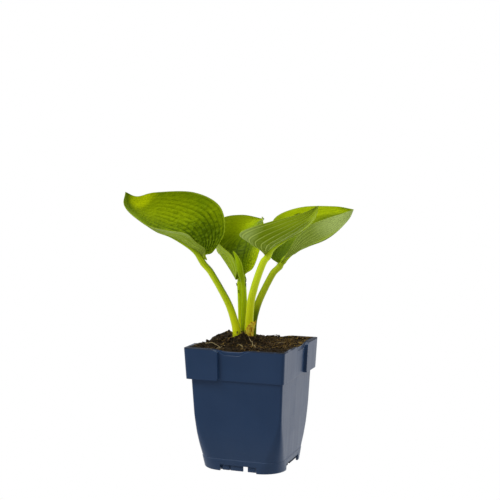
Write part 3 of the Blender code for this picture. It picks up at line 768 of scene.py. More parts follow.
def scattered_threads(count, length, radius, lift, seed):
    """Threads gathered in seeded tufts, kept inside the rim."""
    chance = random.Random(seed)
    threads = []
    tuft = (0.0, 0.0)
    while len(threads) < count:
        if len(threads) % 7 == 0:
            tuft = [chance.uniform(-LITTER_HALF, LITTER_HALF) for _ in "xy"]
            if chance.random() < TUFT_SHARE:
                tuft = chance.choice(TUFTS)
        x, y = (chance.gauss(middle, 7.0) for middle in tuft)
        points = lying_thread(chance, x, y, chance.uniform(*length), chance.uniform(0, lift))
        if max(abs(value) for point in points for value in point[:2]) < LITTER_HALF:
            threads.append((points, chance.uniform(*radius)))
    return threads


def straw_points(start, end, arch):
    points = []
    for i in range(7):
        share = i / 6
        flat = Vector(start).lerp(Vector(end), share)
        bend = 1.2 * math.sin(math.pi * share * 1.4)
        x, y, _ = plant_to_pot((flat.x + bend, flat.y, 0))
        points.append((x, y, crumbly_height(x, y) + 0.4 + arch * math.sin(math.pi * share)))
    return points


def make_fibre(name, pale, dark):
    """Dry plant fibre, each thread a little lighter or darker than its neighbours."""
    material, place = start_material(name, PLACE)
    tone = place.noise(130, 2)
    fleck = place.noise(1500, 2)
    colour = (tone.ramp(0.38, 0.62) * 0.8 + fleck.ramp(0.5, 0.7) * 0.2).blend(dark, pale)
    return finish_material(material, colour, 0.85, ((fleck, 0.05),),
                           Specular_IOR_Level=0.15)


dress(thread_curve("fibres_gold", scattered_threads(250, (3, 9), (0.13, 0.28), 1.3, 21)),
      "peat", [], make_fibre("fibre_gold", FIBRE_GOLD, toned(FIBRE_GOLD, 0.35)))
dress(thread_curve("rootlets", scattered_threads(160, (6, 20), (0.12, 0.22), 1.8, 22)),
      "peat", [], make_fibre("rootlet", FIBRE_DARK, toned(FIBRE_DARK, 0.3)))
dress(thread_curve("straws", [(straw_points(*straw), 0.28) for straw in STRAWS]),
      "peat", [], make_fibre("straw", STRAW_PALE, toned(STRAW_PALE, 0.6)))

# ---------------------------------------------------------------- leaves
# Four hosta leaves. Each is a stout petiole with a channel along its inner side, running on
# as a tapering midrib under a thin heart-shaped blade, whose veins are sunk above and raised
# below, with the tissue puckered between them. Points are (across, toward, up).
# Per leaf, glow and lit list patches of painted light, and shade patches of painted shade; one of
# these, on the right-hand leaf, is the shadow along a slit-like gap. tone paints the stalk and
# blade root lighter or darker for the light where that leaf stands. The numbers for the vein
# grooves, the vein flanks below, the stalk's channel and its foot set how strong painted shade is
# there, and the first also sets the painted highlights on the ridges.
LEAVES = {
    "leaf_left": dict(
        stem=[(-15.4, -4.2, 131), (-17.3, -5, 143), (-23.4, -6, 162), (-33.6, -4, 182),
              (-42.8, -2, 198), (-50, 0, 211)],
        width=(10.6, 8.0), channel=(1, 0.1, 0.4),
        midrib=[(-50, 0, 211), (-56, 1, 218.4), (-66, 2, 225.6), (-82, 3, 234.3), (-98, 4, 240),
                (-113, 5, 251.6), (-126, 3, 263), (-129, 0, 278.9)],
        left=[(-49.4, 1.6, 212), (-48, 8, 221), (-56, 22, 229), (-66, 34, 239), (-86, 39.8, 243),
              (-105.5, 31.8, 247.8), (-128, 14, 264.4), (-129, 0, 278.9)],
        right=[(-47.6, -3, 215), (-40.5, -8, 217), (-28.6, -13, 238), (-34, -18, 264),
               (-61, -22, 277.8), (-100, -20, 277.8), (-118, -11, 274), (-129, 0, 278.9)],
        sag_left=[0, 1, 2, 2.5, 2.6, 1.5, 1, 0], sag_right=[0.5, 2, 6, 9, 10, 8, 4, 0],
        veins=11, relief=1.45, vein_shading=1.35, flank_shadow=0.1, rib_sink=0.3,
        glow=[(0.95, 0.84, 0.30, 0.12, 1.9), (0.76, 0.68, 0.24, 0.20, 0.50),
              (0.95, 0.46, 0.12, 0.10, 0.20)],
        shade=[(0.76, 0.36, 0.34, 0.16, 0.85), (0.58, 0.60, 0.14, 0.25, 0.30)],
        bloom=[(0.05, 0.55, 0.10, 0.15, 0.25)], lit=[(0.20, 0.40, 0.20, 0.30, 0.4)],
        channel_shade=0.8, foot_shade=0.0, tone=1.12),
    "leaf_back": dict(
        stem=[(-9.9, -17.3, 131), (-10, -17.6, 148), (-10.5, -18, 166), (-11.3, -18.8, 182),
              (-12.3, -20, 191)],
        width=(10.4, 9.6), channel=(0, 1, 0.3),
        midrib=[(-12.3, -20, 191), (-12, -21.5, 196), (-11, -24, 202), (-8, -32, 216),
                (-4, -43, 229), (3, -55, 240), (8, -65, 245), (13, -74.8, 247)],
        left=[(-14.5, -18, 189), (-17.5, -15, 188), (-16, -10, 200), (-21, -8, 213),
              (-36, -14, 228), (-34, -45, 248), (-12, -66, 252), (13, -74.8, 247)],
        right=[(-11, -18, 190), (-7, -15, 194), (1, -11, 201), (7, -9, 218), (10, -16, 231),
               (12, -34, 242), (10, -60, 250), (13, -74.8, 247)],
        sag_left=[1, 5.5, 13, 22, 25, 14, 5, 0], sag_right=[1, 3, 5, 6, 7, 5, 3, 0],
        veins=11, relief=0.9, vein_shading=1.2, flank_shadow=0.1, rib_sink=0.5,
        glow=[(0.88, 0.46, 0.34, 0.40, 1.0), (0.16, 0.90, 0.34, 0.24, 0.95),
              (0.36, 0.68, 0.30, 0.20, 0.20)],
        shade=[(0.44, 0.54, 0.20, 0.22, 0.60), (0.60, 0.95, 0.25, 0.15, 0.5)],
        bloom=[(0.05, 0.55, 0.20, 0.15, 0.20)], lit=[(0.10, 0.50, 0.40, 0.40, 0.9)],
        channel_shade=0.20, foot_shade=0.0, tone=1.5),
    "leaf_front": dict(
        stem=[(-4.4, -4.5, 131), (-3.4, -2, 145), (-1.6, 3, 167), (2, 8, 183), (7, 13, 199),
              (11.6, 17, 211), (14, 19, 217)],
        width=(8.8, 7.6), channel=(-0.5, -0.8, 0.4),
        midrib=[(14, 19, 217), (17.4, 21, 222), (23, 25, 227), (34, 33, 234),
                (45, 43, 240), (55, 53, 248), (61, 60, 258), (63, 64, 268)],
        right=[(11, 21, 218), (6, 27, 223), (-5, 36, 231), (-13, 46, 239), (-3, 58, 246),
               (21, 68, 254), (47, 69.8, 261), (63, 64, 268)],
        left=[(15, 17, 218), (17, 15, 222), (20, 17, 228), (26, 22, 239), (37, 28, 248),
              (49, 38, 255), (57, 53, 261), (63, 64, 268)],
        sag_right=[0.4, 2.5, 7, 8, 7, 5, 3, 0], sag_left=[0.4, 1, 4, 5, 5, 4, 2, 0],
        veins=7, relief=1.2, vein_shading=0.6, flank_shadow=0.45, rib_sink=0.3,
        glow=[(0.5, 0.9, 0.5, 0.2, 0.6)], shade=[],
        bloom=[(1.00, 0.50, 0.17, 0.22, 0.50), (0.70, 0.80, 0.40, 0.34, -0.35)],
        lit=[(0.92, 0.80, 0.30, 0.14, 0.40), (0.50, 0.88, 0.12, 0.34, 1.0),
             (0.64, 0.95, 0.20, 0.16, 1.2)],
        channel_shade=0.8, foot_shade=0.0, tone=1.0),
    "leaf_right": dict(
        stem=[(-0.4, -14.4, 131), (1, -14.4, 146), (5.7, -14, 163), (13.3, -13, 180),
              (21.2, -12, 195), (27.8, -12, 205)],
        width=(9.0, 7.6), channel=(-0.7, -0.7, 0.5),
        midrib=[(27.8, -12, 205), (34, -11, 212), (43, -10, 218.6), (57, -8, 224.4),
                (73, -6, 229.8), (86, -4, 238.4), (98, -3, 250.6), (103, -2, 261)],
        right=[(28.3, -10.8, 205), (32, -5, 211), (38, 2.5, 221.5), (45.6, 8.5, 235.6),
               (58.8, 13, 246.4), (76, 12, 253), (90, 6, 257), (103, -2, 261)],
        left=[(26, -14, 205), (19, -20, 210), (16.5, -30, 219), (18, -40, 238),
              (27, -47, 252.4), (53, -46, 261.4), (85, -28, 263), (103, -2, 261)],
        sag_right=[0.2, 1.2, 5, 6, 6, 5, 3, 0], sag_left=[0.5, 2, 6, 9, 10, 8, 4, 0],
        veins=10, relief=0.6, vein_shading=0.35, flank_shadow=0.1, rib_sink=0.3,
        glow=[(0.10, 0.82, 0.50, 0.30, 0.95)],
        shade=[(0.30, 0.30, 0.45, 0.34, 1.0), (0.26, 0.78, 0.14, 0.16, 0.95),
               (0.083, 0.697, 0.033, 0.026, 1.8)],
        bloom=[(0.80, 0.88, 0.50, 0.30, 0.80), (0.90, 0.60, 0.30, 0.30, 0.15)],
        lit=[(0.58, 0.66, 0.12, 0.20, 0.6)],
        channel_shade=0.7, foot_shade=1.0, tone=0.66),
}
UPRIGHT = Vector((0, 0, 1))
WING_START = 0.96              # where the blade leaves the stem, along it
WING_SHARE = 1 / 8             # the part of a blade's length that is wing
VEIN_RELIEF = 0.95             # depth of the veins below the tissue between them
QUILT_RELIEF = 1.10            # cross puckers between two veins
SHEET_THICKNESS = 0.35          # of blades, the furled leaf and the bud scale
BLADE_COLUMNS = 176
BLADE_ROWS = 150
STEM_SIDES = 28
STEM_ROWS = 44
RIB_ROWS = 26
RIB_REACH = 0.84
RIB_END = RIB_REACH + 0.03
RIB_KNEE = 0.55                # up to here a rib thins fast, beyond it slowly
RIB_KNEE_WIDTH = 0.22
STEM_FLATNESS = 0.94
STEM_CHANNEL = 0.14
ROOT_DEPTH = 12.0
LEAF_DARK = (0.040, 0.078, 0.0006)
LEAF_GREEN = (0.150, 0.232, 0.0008)
LEAF_BRIGHT = (0.350, 0.450, 0.0012)
LEAF_SUNLIT = (0.660, 0.780, 0.0020)
LEAF_MARGIN = (0.340, 0.430, 0.0200)
UNDER_PALE = (0.420, 0.540, 0.1500)
UNDER_GREEN = (0.155, 0.230, 0.0040)
UNDER_DARK = (0.080, 0.130, 0.0012)
UNDER_LIT = (0.340, 0.470, 0.0120)
VEIN_PALE = (0.440, 0.550, 0.1000)
STEM_PALE = (0.600, 0.730, 0.0220)
STEM_GREEN = (0.320, 0.430, 0.0030)
STEM_DARK = (0.070, 0.130, 0.0006)
STEM_FOOT = (0.720, 0.760, 0.0060)
LEAF_SHEEN = (0.80, 1.00, 0.10)
LEAF_GLOSS = {"Specular_IOR_Level": 0.12, "Specular_Tint": LEAF_SHEEN}


def smooth(points, t):
    """Point at t (0..1) on a smooth curve through the points (Catmull-Rom)."""
    points = [Vector(p) if hasattr(p, "__len__") else Vector((p, 0, 0)) for p in points]
    points = [2 * points[0] - points[1], *points, 2 * points[-1] - points[-2]]
    place = t * (len(points) - 3)
    i = min(int(place), len(points) - 4)
    f = place - i
    a, b, c, d = points[i:i + 4]
    return 0.5 * (2 * b + (c - a) * f + (2 * a - 5 * b + 4 * c - d) * f * f
                  + (3 * b - a - 3 * c + d) * f ** 3)


def direction(points, t):
    return smooth(points, min(t + 0.01, 1)) - smooth(points, max(t - 0.01, 0))


def square_to(way, along):
    """The part of a way that is square to another, as a unit vector."""
    along = along.normalized()
    return (way - along * way.dot(along)).normalized()


@functools.cache
def blade_lines(name):
    """Midrib, left and right margin, carried a little way down the stem's channel side."""
    leaf = LEAVES[name]
    root = smooth(leaf["stem"], WING_START)
    along = direction(leaf["stem"], WING_START)
    inward = square_to(Vector(leaf["channel"]), along)
    half = leaf["width"][1] / 2
    lines = [[root + inward * half * 0.7, *leaf["midrib"]]]
    for side in ("left", "right"):
        out = square_to(Vector(leaf[side][0]) - Vector(leaf["midrib"][0]), along)
        lines.append([root + inward * half * 0.3 + out * half * 0.4, *leaf[side]])
    return lines


@functools.cache
def blade_line(name, u):
    """The midrib's point at u, and for each half its reach, its lift and its sag."""
    midrib, *margins = blade_lines(name)
    spine = smooth(midrib, u)
    along = direction(midrib, u)
    halves = []
    for side, margin, turn in (("left", margins[0], 1), ("right", margins[1], -1)):
        reach = smooth(margin, u) - spine
        lift = (reach.cross(along) * turn).normalized()
        halves.append((reach, lift, smooth([0, *LEAVES[name]["sag_" + side]], u).x))
    return spine, halves


def blade_spot(name, u, v):
    """Point on a blade: u from base to tip, v from -1 (left margin) to 1 (right margin)."""
    spine, halves = blade_line(name, u)
    reach, lift, sag = halves[0 if v < 0 else 1]
    w = abs(v)
    depth = sag * 4 * w * (1 - w) * (1.25 - 0.5 * w)
    free = max(0.0, (u - WING_SHARE) / (1 - WING_SHARE))
    place = spine + reach * w
    leaf = LEAVES[name]
    count = leaf["veins"] + 0.5
    fade = min(1.0, 4 * w, 6 * (1 - w)) * math.sin(math.pi * free) ** 0.5
    near = 1 - ease((free - 0.22 * (1 - w) - 0.10) / 0.50)
    valley = abs(math.sin(math.pi * w * count)) ** 0.7
    uneven = 1 + 1.3 * noise.noise(Vector((u * 7, round(w * count) * 3.1, v / 2)))
    quilt = noise.noise(Vector((u * 50, v * count * 0.9, len(name))))
    pucker = fade * leaf["relief"] * (VEIN_RELIEF * (0.16 + 0.84 * near) * uneven * (valley - 0.6)
                                      + QUILT_RELIEF * (0.1 + 0.9 * near) * quilt * valley)
    ripple = 0.05 * w ** 4 * math.sin(math.pi * u) * math.sin(31 * u + 2 * v)
    return plant_to_pot(place + lift * (pucker + ripple - depth))


def make_blade(name, *skins):
    blade = sheet(f"{name}_blade", BLADE_COLUMNS, BLADE_ROWS,
                  lambda i, j: blade_spot(name, j / BLADE_ROWS, 2 * i / BLADE_COLUMNS - 1))
    for skin in skins:
        blade.data.materials.append(skin)
    return thicken(edit(blade, MERGE), SHEET_THICKNESS, 70, material_offset=1,
                   material_offset_rim=2)


def stem_ring(centre, along, inward, width, dent):
    """A ring of a stem: an oval with a channel along its inner side."""
    inward = square_to(inward, along)
    side = along.normalized().cross(inward)
    ring = []
    for i in range(STEM_SIDES + 1):
        out, up = math.cos(math.tau * i / STEM_SIDES), math.sin(math.tau * i / STEM_SIDES)
        inset = dent * width * max(0.0, up) ** 3
        spot = centre + side * out * width / 2
        ring.append(plant_to_pot(spot + inward * (up * width / 2 * STEM_FLATNESS - inset)))
    return ring


def rib_width(slim, u):
    if u < RIB_KNEE:
        return slim * (1 - (1 - RIB_KNEE_WIDTH) * (u / RIB_KNEE) ** 0.85)
    return slim * RIB_KNEE_WIDTH * (RIB_END - u) / (RIB_END - RIB_KNEE)


def stem_rings(name):
    """Rings of a stem from its foot in the peat to the end of the rib under the blade."""
    leaf = LEAVES[name]
    route, inward = leaf["stem"], Vector(leaf["channel"])
    wide, slim = leaf["width"]
    rings = [stem_ring(Vector(route[0]) - UPRIGHT * back, UPRIGHT, inward, wide, 0.0)
             for back in (ROOT_DEPTH, 6.0, 3.0)]
    upward = sum((half[1] for half in blade_line(name, WING_SHARE)[1]), Vector()).normalized()
    for i in range(STEM_ROWS + 1):
        t = 0.97 * i / STEM_ROWS
        width = wide + (slim - wide) * min(1.0, t * 1.6)
        sink = upward * width * leaf["rib_sink"] * ease((t - 0.78) / 0.19)
        rings.append(stem_ring(smooth(route, t) - sink, direction(route, t), inward, width,
                               STEM_CHANNEL * min(1.0, 5 * t)))
    for i in range(2, RIB_ROWS + 1):
        u = RIB_REACH * i / RIB_ROWS
        spine, halves = blade_line(name, WING_SHARE + (1 - WING_SHARE) * u)
        lift = (halves[0][1] + halves[1][1]).normalized()
        width = rib_width(slim, u)
        rings.append(stem_ring(spine - lift * width * leaf["rib_sink"],
                               direction(leaf["midrib"], u), lift, width, 0.0))
    return rings


def make_stem(name, rings):
    stem = sheet(name, STEM_SIDES, len(rings) - 1, lambda i, j: rings[j][i])
    return smooth_shade(close_up(stem), 70)


def patches(uv, marks):
    """Soft-edged patches (across, along, half width, half length, strength) on a blade."""
    total = 0.0
    for s, t, wide, long, strength in marks:
        away = ((uv.part(0) - s) * (1 / wide)) ** 2.0 + ((uv.part(1) - t) * (1 / long)) ** 2.0
        total = total + away.ramp(1.0, 0.0) * strength
    return total


def off_rib(uv):
    """0 on the midrib, 1 at both margins."""
    return (uv.part(0) * 2.0 - 1.0).size()


def vein_valley(uv, veins):
    """0 on a vein, 1 half way between two."""
    return (off_rib(uv) * (math.pi * (veins + 0.5))).call("SINE").size()


def make_upper(name, leaf):
    """Upper skin: satin mid green, with painted shade in the veins and painted light where lit.
    """
    material, place, uv = start_material(f"{name}_upper", PLACE, UV)
    valley = vein_valley(uv, leaf["veins"])
    mottle = place.noise(150, 4, 0.6)
    cells = uv.stretch(leaf["veins"] * 2.4, 62.0, 1.0).noise(1.0, 3, 0.6)
    patchy = place.noise(95, 3).ramp(0.38, 0.64)
    outward = off_rib(uv)
    near = 1.0 - (uv.part(1) + outward * 0.22).ramp(0.44, 0.92)
    # Painted shade in the vein grooves, and painted highlights on the ridge tops.
    vein_shading = (1.0 - valley.ramp(0.0, 0.50)) * (0.06 + near * (0.22 + 0.70 * patchy))
    thread = (1.0 - valley.ramp(0.0, 0.30)) * (1.0 - near) * patchy * 0.22
    ridge_highlight = valley.ramp(0.70, 1.0) * near * 0.30 * patchy * leaf["vein_shading"]
    # Glow patches, up to the sunlit green, are painted light; shade patches and the dark of the
    # puckers are painted shade.
    light = patches(uv, leaf["glow"]) + (mottle - 0.5) * 0.6 + thread + ridge_highlight
    dark = (vein_shading * leaf["vein_shading"] + cells.ramp(0.49, 0.62) * near * 0.40 * leaf["vein_shading"]
            + patches(uv, leaf["shade"]) * 0.8)
    margin = outward.ramp(0.965, 0.995) * 0.5
    colour = light.least(1.0).blend(LEAF_GREEN, LEAF_BRIGHT)
    sunlit = (light - 1.0).most(0.0).least(1.0)
    colour = sunlit.blend(colour, LEAF_SUNLIT)
    colour = margin.blend(dark.least(0.9).blend(colour, LEAF_DARK), LEAF_MARGIN)
    root = 1.0 - uv.part(1).ramp(0.07, 0.20)
    colour = (root * 0.9).blend(colour, toned(STEM_GREEN, 0.7 * leaf["tone"]))
    roughness = 0.50 + (mottle - 0.5) * 0.2
    return finish_material(material, colour, roughness, ((cells, 0.75), (mottle, 0.12)),
                           **LEAF_GLOSS)


def make_under(name, leaf):
    """Underside: matt grey green, greener between the raised pale veins."""
    material, place, uv = start_material(f"{name}_under", PLACE, UV)
    valley = vein_valley(uv, leaf["veins"])
    mottle = place.noise(120, 4, 0.6)
    net = uv.stretch(40.0, 90.0, 1.0).noise(1.0, 3, 0.65)
    bloom = (mottle - 0.5) * 0.4 + (net - 0.5) * 0.4 + 0.12 + patches(uv, leaf["bloom"])
    # The lit patches are painted light.
    lit = patches(uv, leaf["lit"]).least(1.0)
    colour = lit.blend(bloom.most(0.0).least(1.0).blend(
        UNDER_GREEN, UNDER_PALE), UNDER_LIT)
    fresh = 1.0 - uv.part(1).ramp(0.35, 0.95) * 0.7
    # Painted shadow beside each raised vein.
    flank_shadow = (1.0 - (valley - 0.58).size().ramp(0.05, 0.30)) * fresh * leaf["flank_shadow"]
    colour = flank_shadow.blend(colour, UNDER_DARK)
    vein = (1.0 - valley.ramp(0.04, 0.38)) * fresh * (0.55 + 0.6 * mottle)
    colour = vein.least(1.0).blend(colour, VEIN_PALE)
    root = 1.0 - uv.part(1).ramp(0.08, 0.24)
    colour = (root * 0.9).blend(colour, toned(STEM_PALE, 0.8 * leaf["tone"]))
    return finish_material(material, colour, 0.6, ((net, 0.2), (valley, -0.30)),
                           **LEAF_GLOSS)


def make_margin():
    """The blade's thin pale edge."""
    material, place = start_material("leaf_margin", PLACE)
    colour = place.noise(200, 2).ramp(0.4, 0.6).blend(LEAF_MARGIN, toned(LEAF_MARGIN, 0.7))
    return finish_material(material, colour, 0.55, **LEAF_GLOSS)


def make_petiole(name, leaf):
    """Juicy stalk: pale outside, painted shade in its channel, finely streaked, yellow foot."""
    material, uv = start_material(f"{name}_petiole", UV)
    round_it, up_it = uv.part(0), uv.part(1)
    streaks = uv.stretch(46.0, 2.5, 1.0).noise(1.0, 3, 0.6)
    flecks = uv.stretch(30.0, 60.0, 1.0).noise(1.0, 4, 0.7)
    channel = 1.0 - (round_it - 0.25).size().ramp(0.07, 0.19)
    outside = (round_it - 0.75).size()
    pale = (1.0 - outside.ramp(0.10, 0.36)) * 0.75 + 0.1 + (streaks - 0.5) * 0.8
    # The leaf's tone paints the stalk lighter or darker for the light where it stands, and
    # painted shade darkens its channel.
    colour = pale.most(0.0).blend(*(toned(c, leaf["tone"]) for c in (STEM_GREEN, STEM_PALE)))
    colour = (channel * leaf["channel_shade"]).blend(colour, STEM_DARK)
    foot = 1.0 - up_it.ramp(0.10, 0.40)
    colour = (foot * (0.7 + (flecks - 0.5))).most(0.0).blend(colour, STEM_FOOT)
    colour = (up_it.ramp(0.62, 0.72) * 0.8).blend(colour, UNDER_LIT)
    colour = (up_it.ramp(0.74, 0.88) * 0.8).blend(colour, UNDER_GREEN)
    # Painted shade low on the stalk, as strong as its foot shade number, with dark flecks at the
    # very foot.
    darkening = (1.0 - up_it.ramp(0.20, 0.36)) * leaf["foot_shade"]
    darkening = darkening.most((1.0 - up_it.ramp(0.04, 0.12)) * flecks.ramp(0.5, 0.62))
    colour = (darkening * 0.9).blend(colour, STEM_DARK)
    return finish_material(material, colour, 0.42, ((streaks, 0.18), (flecks, 0.06)),
                           Specular_IOR_Level=0.16, Specular_Tint=LEAF_SHEEN)


leaf_margin = make_margin()
for name, leaf in LEAVES.items():
    dress(make_blade(name, make_upper(name, leaf), make_under(name, leaf), leaf_margin),
          "leaf_green", [name])
    dress(make_stem(f"{name}_stem", stem_rings(name)), "leaf_green", [name],
          make_petiole(name, leaf))

# ---------------------------------------------------------------- youngest leaf
# Still furled: a thin blade rolled round itself a little more than once, its outer margin
# showing as a pale line down the front.
YOUNG_ROUTE = [(-10.2, -9.9, 131), (-10, -10.6, 150), (-9.8, -10.8, 170), (-9.6, -9, 184),
               (-11.8, -6, 194), (-13.6, -4, 204), (-16.8, -3.5, 213), (-19.8, -3.5, 218)]
YOUNG_FACING = (0, 1, 0.2)
YOUNG_WIDTH = [3.0, 3.0, 3.2, 4.2, 6.4, 6.8, 3.6, 1.0]
YOUNG_COLUMNS = 56
YOUNG_ROWS = 90
YOUNG_TURNS = 1.3
YOUNG_OUTER_EDGE = math.radians(150)
YOUNG_GREEN = (0.200, 0.310, 0.002)
YOUNG_BRIGHT = (0.290, 0.420, 0.004)
YOUNG_STALK = (0.400, 0.540, 0.003)


def young_spot(i, j):
    t = j / YOUNG_ROWS
    share = i / YOUNG_COLUMNS
    centre = smooth(YOUNG_ROUTE, t)
    along = direction(YOUNG_ROUTE, t)
    inward = square_to(Vector(YOUNG_FACING), along)
    side = along.normalized().cross(inward)
    angle = YOUNG_OUTER_EDGE - math.tau * YOUNG_TURNS * (1 - share)
    radius = smooth(YOUNG_WIDTH, t).x / 2 * (0.78 + 0.22 * share)
    return plant_to_pot(centre + (side * math.cos(angle) + inward * math.sin(angle)) * radius)


def make_young_skin():
    """Fresh green skin with fine streaks along it and a pale margin."""
    material, uv = start_material("leaf_young_skin", UV)
    streaks = uv.stretch(60.0, 3.0, 1.0).noise(1.0, 3, 0.6)
    colour = streaks.ramp(0.35, 0.65).blend(YOUNG_GREEN, YOUNG_BRIGHT)
    colour = (1.0 - uv.part(1).ramp(0.35, 0.60)).blend(colour, YOUNG_STALK)
    colour = uv.part(0).ramp(0.93, 0.985).blend(colour, LEAF_MARGIN)
    return finish_material(material, colour, 0.5, ((streaks, 0.12),),
                           **LEAF_GLOSS)


dress(thicken(sheet("leaf_young_roll", YOUNG_COLUMNS, YOUNG_ROWS, young_spot),
              SHEET_THICKNESS, 70), "leaf_green", ["leaf_young"], make_young_skin())

# ---------------------------------------------------------------- bud scale and scraps
# The dry scale of the winter bud, a crinkled papery cup round one stem's foot, and torn
# scraps of old sheath that cling to the stems.
SCALE_STEM = "leaf_front"
SCALE_FACING = math.radians(-25)
SCALE_WRAP = math.radians(200)
SCALE_HEIGHT = 12.0
SCALE_LIFT = 3.5
SCALE_FLARE = 1.6
SCALE_COLUMNS = 48
SCALE_ROWS = 22
SCALE_OCHRE = (0.900, 0.580, 0.020)
SCALE_BROWN = (0.460, 0.170, 0.010)
SCALE_PALE = (0.920, 0.840, 0.080)
SCRAP_THICKNESS = 0.3
SCRAP_COLUMNS = 10
SCRAP_ROWS = 8
SCRAP_GREEN = (0.030, 0.040, 0.004)
SCRAP_YELLOW = (0.400, 0.400, 0.040)
# Scraps: (across, toward, up) of the root, lean (across, toward, up), width.
STEM_SCRAPS = (((-15.9, -17.8, 181), (-0.7, 0.3, 2.4), 1.4),
               ((-14.2, -14.6, 174), (-0.3, 0.4, 2.6), 1.3),
               ((-7.3, -17.0, 180), (0.6, 0.3, 3.6), 1.5),
               ((-7.2, -17.2, 185), (0.7, 0.3, 2.8), 1.4),
               ((-7.6, -17.0, 190), (0.8, 0.4, -1.8), 1.1))
FOOT_SCRAPS = (((-15.5, 1.0, 133.5), (-0.2, 0.7, 2.6), 2.2),
               ((-11.6, 0.0, 134.0), (0.5, 0.6, 3.2), 2.0),
               ((-19.8, -2.4, 132.3), (-0.9, 0.5, 2.2), 2.0),
               ((-7.4, -1.0, 134.5), (0.2, 0.7, 2.4), 2.2),
               ((-4.6, 0.4, 134.3), (-0.4, 0.8, 2.4), 2.0))


def stem_centre(route, up):
    """Middle of a stem at a height; below its foot it goes straight down."""
    if up <= route[0][2]:
        return Vector((*route[0][:2], up))
    low, high = 0.0, 1.0
    for _ in range(20):
        middle = (low + high) / 2
        low, high = (middle, high) if smooth(route, middle).z < up else (low, middle)
    return smooth(route, low)


def scale_spot(i, j):
    route = LEAVES[SCALE_STEM]["stem"]
    level = -0.4 + 1.4 * j / SCALE_ROWS
    rise = max(level, 0.0)
    centre = stem_centre(route, route[0][2] + SCALE_LIFT + level * SCALE_HEIGHT)
    wrap = SCALE_WRAP * (1 - 0.55 * rise ** 2)
    angle = SCALE_FACING + (i / SCALE_COLUMNS - 0.5) * wrap
    torn = noise.noise(Vector((i * 0.35, 0.0, 5.0))) + 0.5 * noise.noise(Vector((i, 0, 2)))
    crinkle = 0.45 * noise.noise(Vector((i * 0.30, j * 0.12, 8.0)))
    reach = LEAVES[SCALE_STEM]["width"][0] / 2 + 0.7 + SCALE_FLARE * rise + crinkle
    return plant_to_pot(centre + Vector((reach * math.cos(angle), -reach * math.sin(angle),
                                         2.6 * rise ** 2 * (torn - 0.35))))


def make_scrap(root, lean, width, seed):
    """A small torn flap that narrows to a ragged edge."""
    root, lean = Vector(root), Vector(lean)
    wide = lean.cross(Vector((0.0, 1.0, 0.2))).normalized() * width / 2

    def place(i, j):
        share, v = j / SCRAP_ROWS, 2 * i / SCRAP_COLUMNS - 1
        torn = noise.noise(Vector((i * 0.9, j * 0.6, seed)))
        curl = Vector((0, 0.8, 0)) * (share ** 2 + 0.4 * torn)
        return plant_to_pot(root + lean * share * (1 + 0.5 * torn) + curl
                            + wide * v * (1 - 0.6 * share) * (1 + 0.5 * torn))

    return thicken(sheet("scrap", SCRAP_COLUMNS, SCRAP_ROWS, place), SCRAP_THICKNESS, 60)


def make_husk(name, pale, mid, dark):
    """Dry sheath: papery, streaked along its length, browned in patches."""
    material, place = start_material(name, PLACE)
    streaks = place.stretch(1.0, 1.0, 0.18).noise(900, 4, 0.65)
    darkening = place.noise(380, 3, 0.6)
    colour = streaks.ramp(0.38, 0.62).blend(mid, pale)
    colour = darkening.ramp(0.48, 0.62).blend(colour, dark)
    return finish_material(material, colour, 0.75, ((streaks, 0.3), (darkening, 0.2)),
                           Specular_IOR_Level=0.2)


dress(thicken(sheet("bud_scale_husk", SCALE_COLUMNS, SCALE_ROWS, scale_spot),
              SHEET_THICKNESS, 60), "dry_scale", ["bud_scale"],
      make_husk("dry_husk", SCALE_PALE, SCALE_OCHRE, SCALE_BROWN))
for label, scraps, *shades in (
        ("stem_scraps", STEM_SCRAPS, STEM_GREEN, SCRAP_GREEN, LEAF_DARK),
        ("foot_scraps", FOOT_SCRAPS, SCALE_PALE, SCRAP_YELLOW, SCRAP_GREEN)):
    dress(join(label, [make_scrap(*scrap, seed) for seed, scrap in enumerate(scraps)]),
          "dry_scale", [], make_husk(f"{label}_husk", *shades))

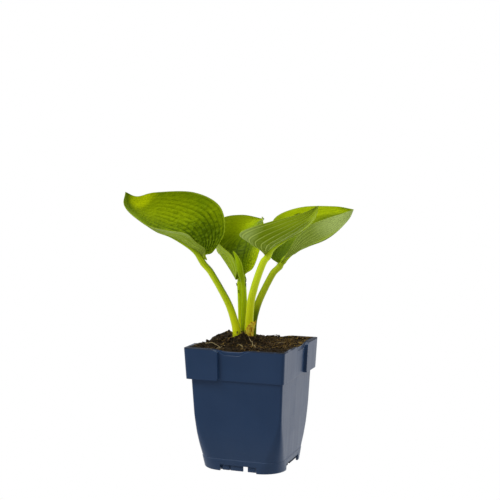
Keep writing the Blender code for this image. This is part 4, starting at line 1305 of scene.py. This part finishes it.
# ---------------------------------------------------------------- studio
# A plain white floor that glows softly, in a tent of light: bright behind and above, weaker
# on the left, and nearly dark on the right and in front. One large soft lamp hangs above to
# the left.
FLOOR_SIZE = 12.0
FLOOR_GLOW = 1.0
TENT_DIM = 0.05
TENT_LEFT = 0.40
TENT_BACK = 1.00
TENT_TOP = 0.95
KEY_POWER = 26.0
KEY_SIZE = 1.1
KEY_SPOT = Vector((-0.95, -0.75, 1.65))
KEY_AIM = Vector((0, 0, 0.15))

bpy.ops.mesh.primitive_plane_add(size=FLOOR_SIZE)
floor = bpy.context.object
floor.name = floor.data.name = "studio_floor"
floor.data.materials.append(finish_material(
    start_material("studio_floor")[0], (0.0, 0.0, 0.0), 0.8, Specular_IOR_Level=0.0,
    Emission_Color=(1.0, 1.0, 1.0), Emission_Strength=FLOOR_GLOW))
floor.visible_glossy = False

lamp = bpy.data.objects.new("key_lamp", bpy.data.lights.new("key_lamp", "AREA"))
bpy.context.scene.collection.objects.link(lamp)
lamp.data.energy = KEY_POWER
lamp.data.size = KEY_SIZE
lamp.location = KEY_SPOT
lamp.rotation_euler = (KEY_AIM - KEY_SPOT).to_track_quat("-Z", "Y").to_euler()

world = bpy.data.worlds.new("tent")
world.use_nodes = True
bpy.context.scene.world = world
sky = Wire(world.node_tree)
heading = sky.add("TexCoord")


def facing_share(way, low, high):
    """How far the sky's direction turns to a way, as 0 to 1."""
    return heading.add("VectorMath", {"operation": "DOT_PRODUCT"},
                       {0: heading, 1: way}, out=1).ramp(low, high)


glow = (TENT_DIM + facing_share((-0.94, 0.34, 0.0), -0.1, 0.8) * TENT_LEFT
        + facing_share((0.25, 0.97, 0.0), 0.15, 0.75) * TENT_BACK
        + facing_share((0.0, 0.0, 1.0), 0.15, 0.75) * TENT_TOP)
seen = sky.add("LightPath")
strength = seen + (1.0 - seen) * glow
plug(world.node_tree.nodes["Background"], {"Color": (1.0, 1.0, 1.0), "Strength": strength})
bpy.context.scene.view_settings.view_transform = "Standard"
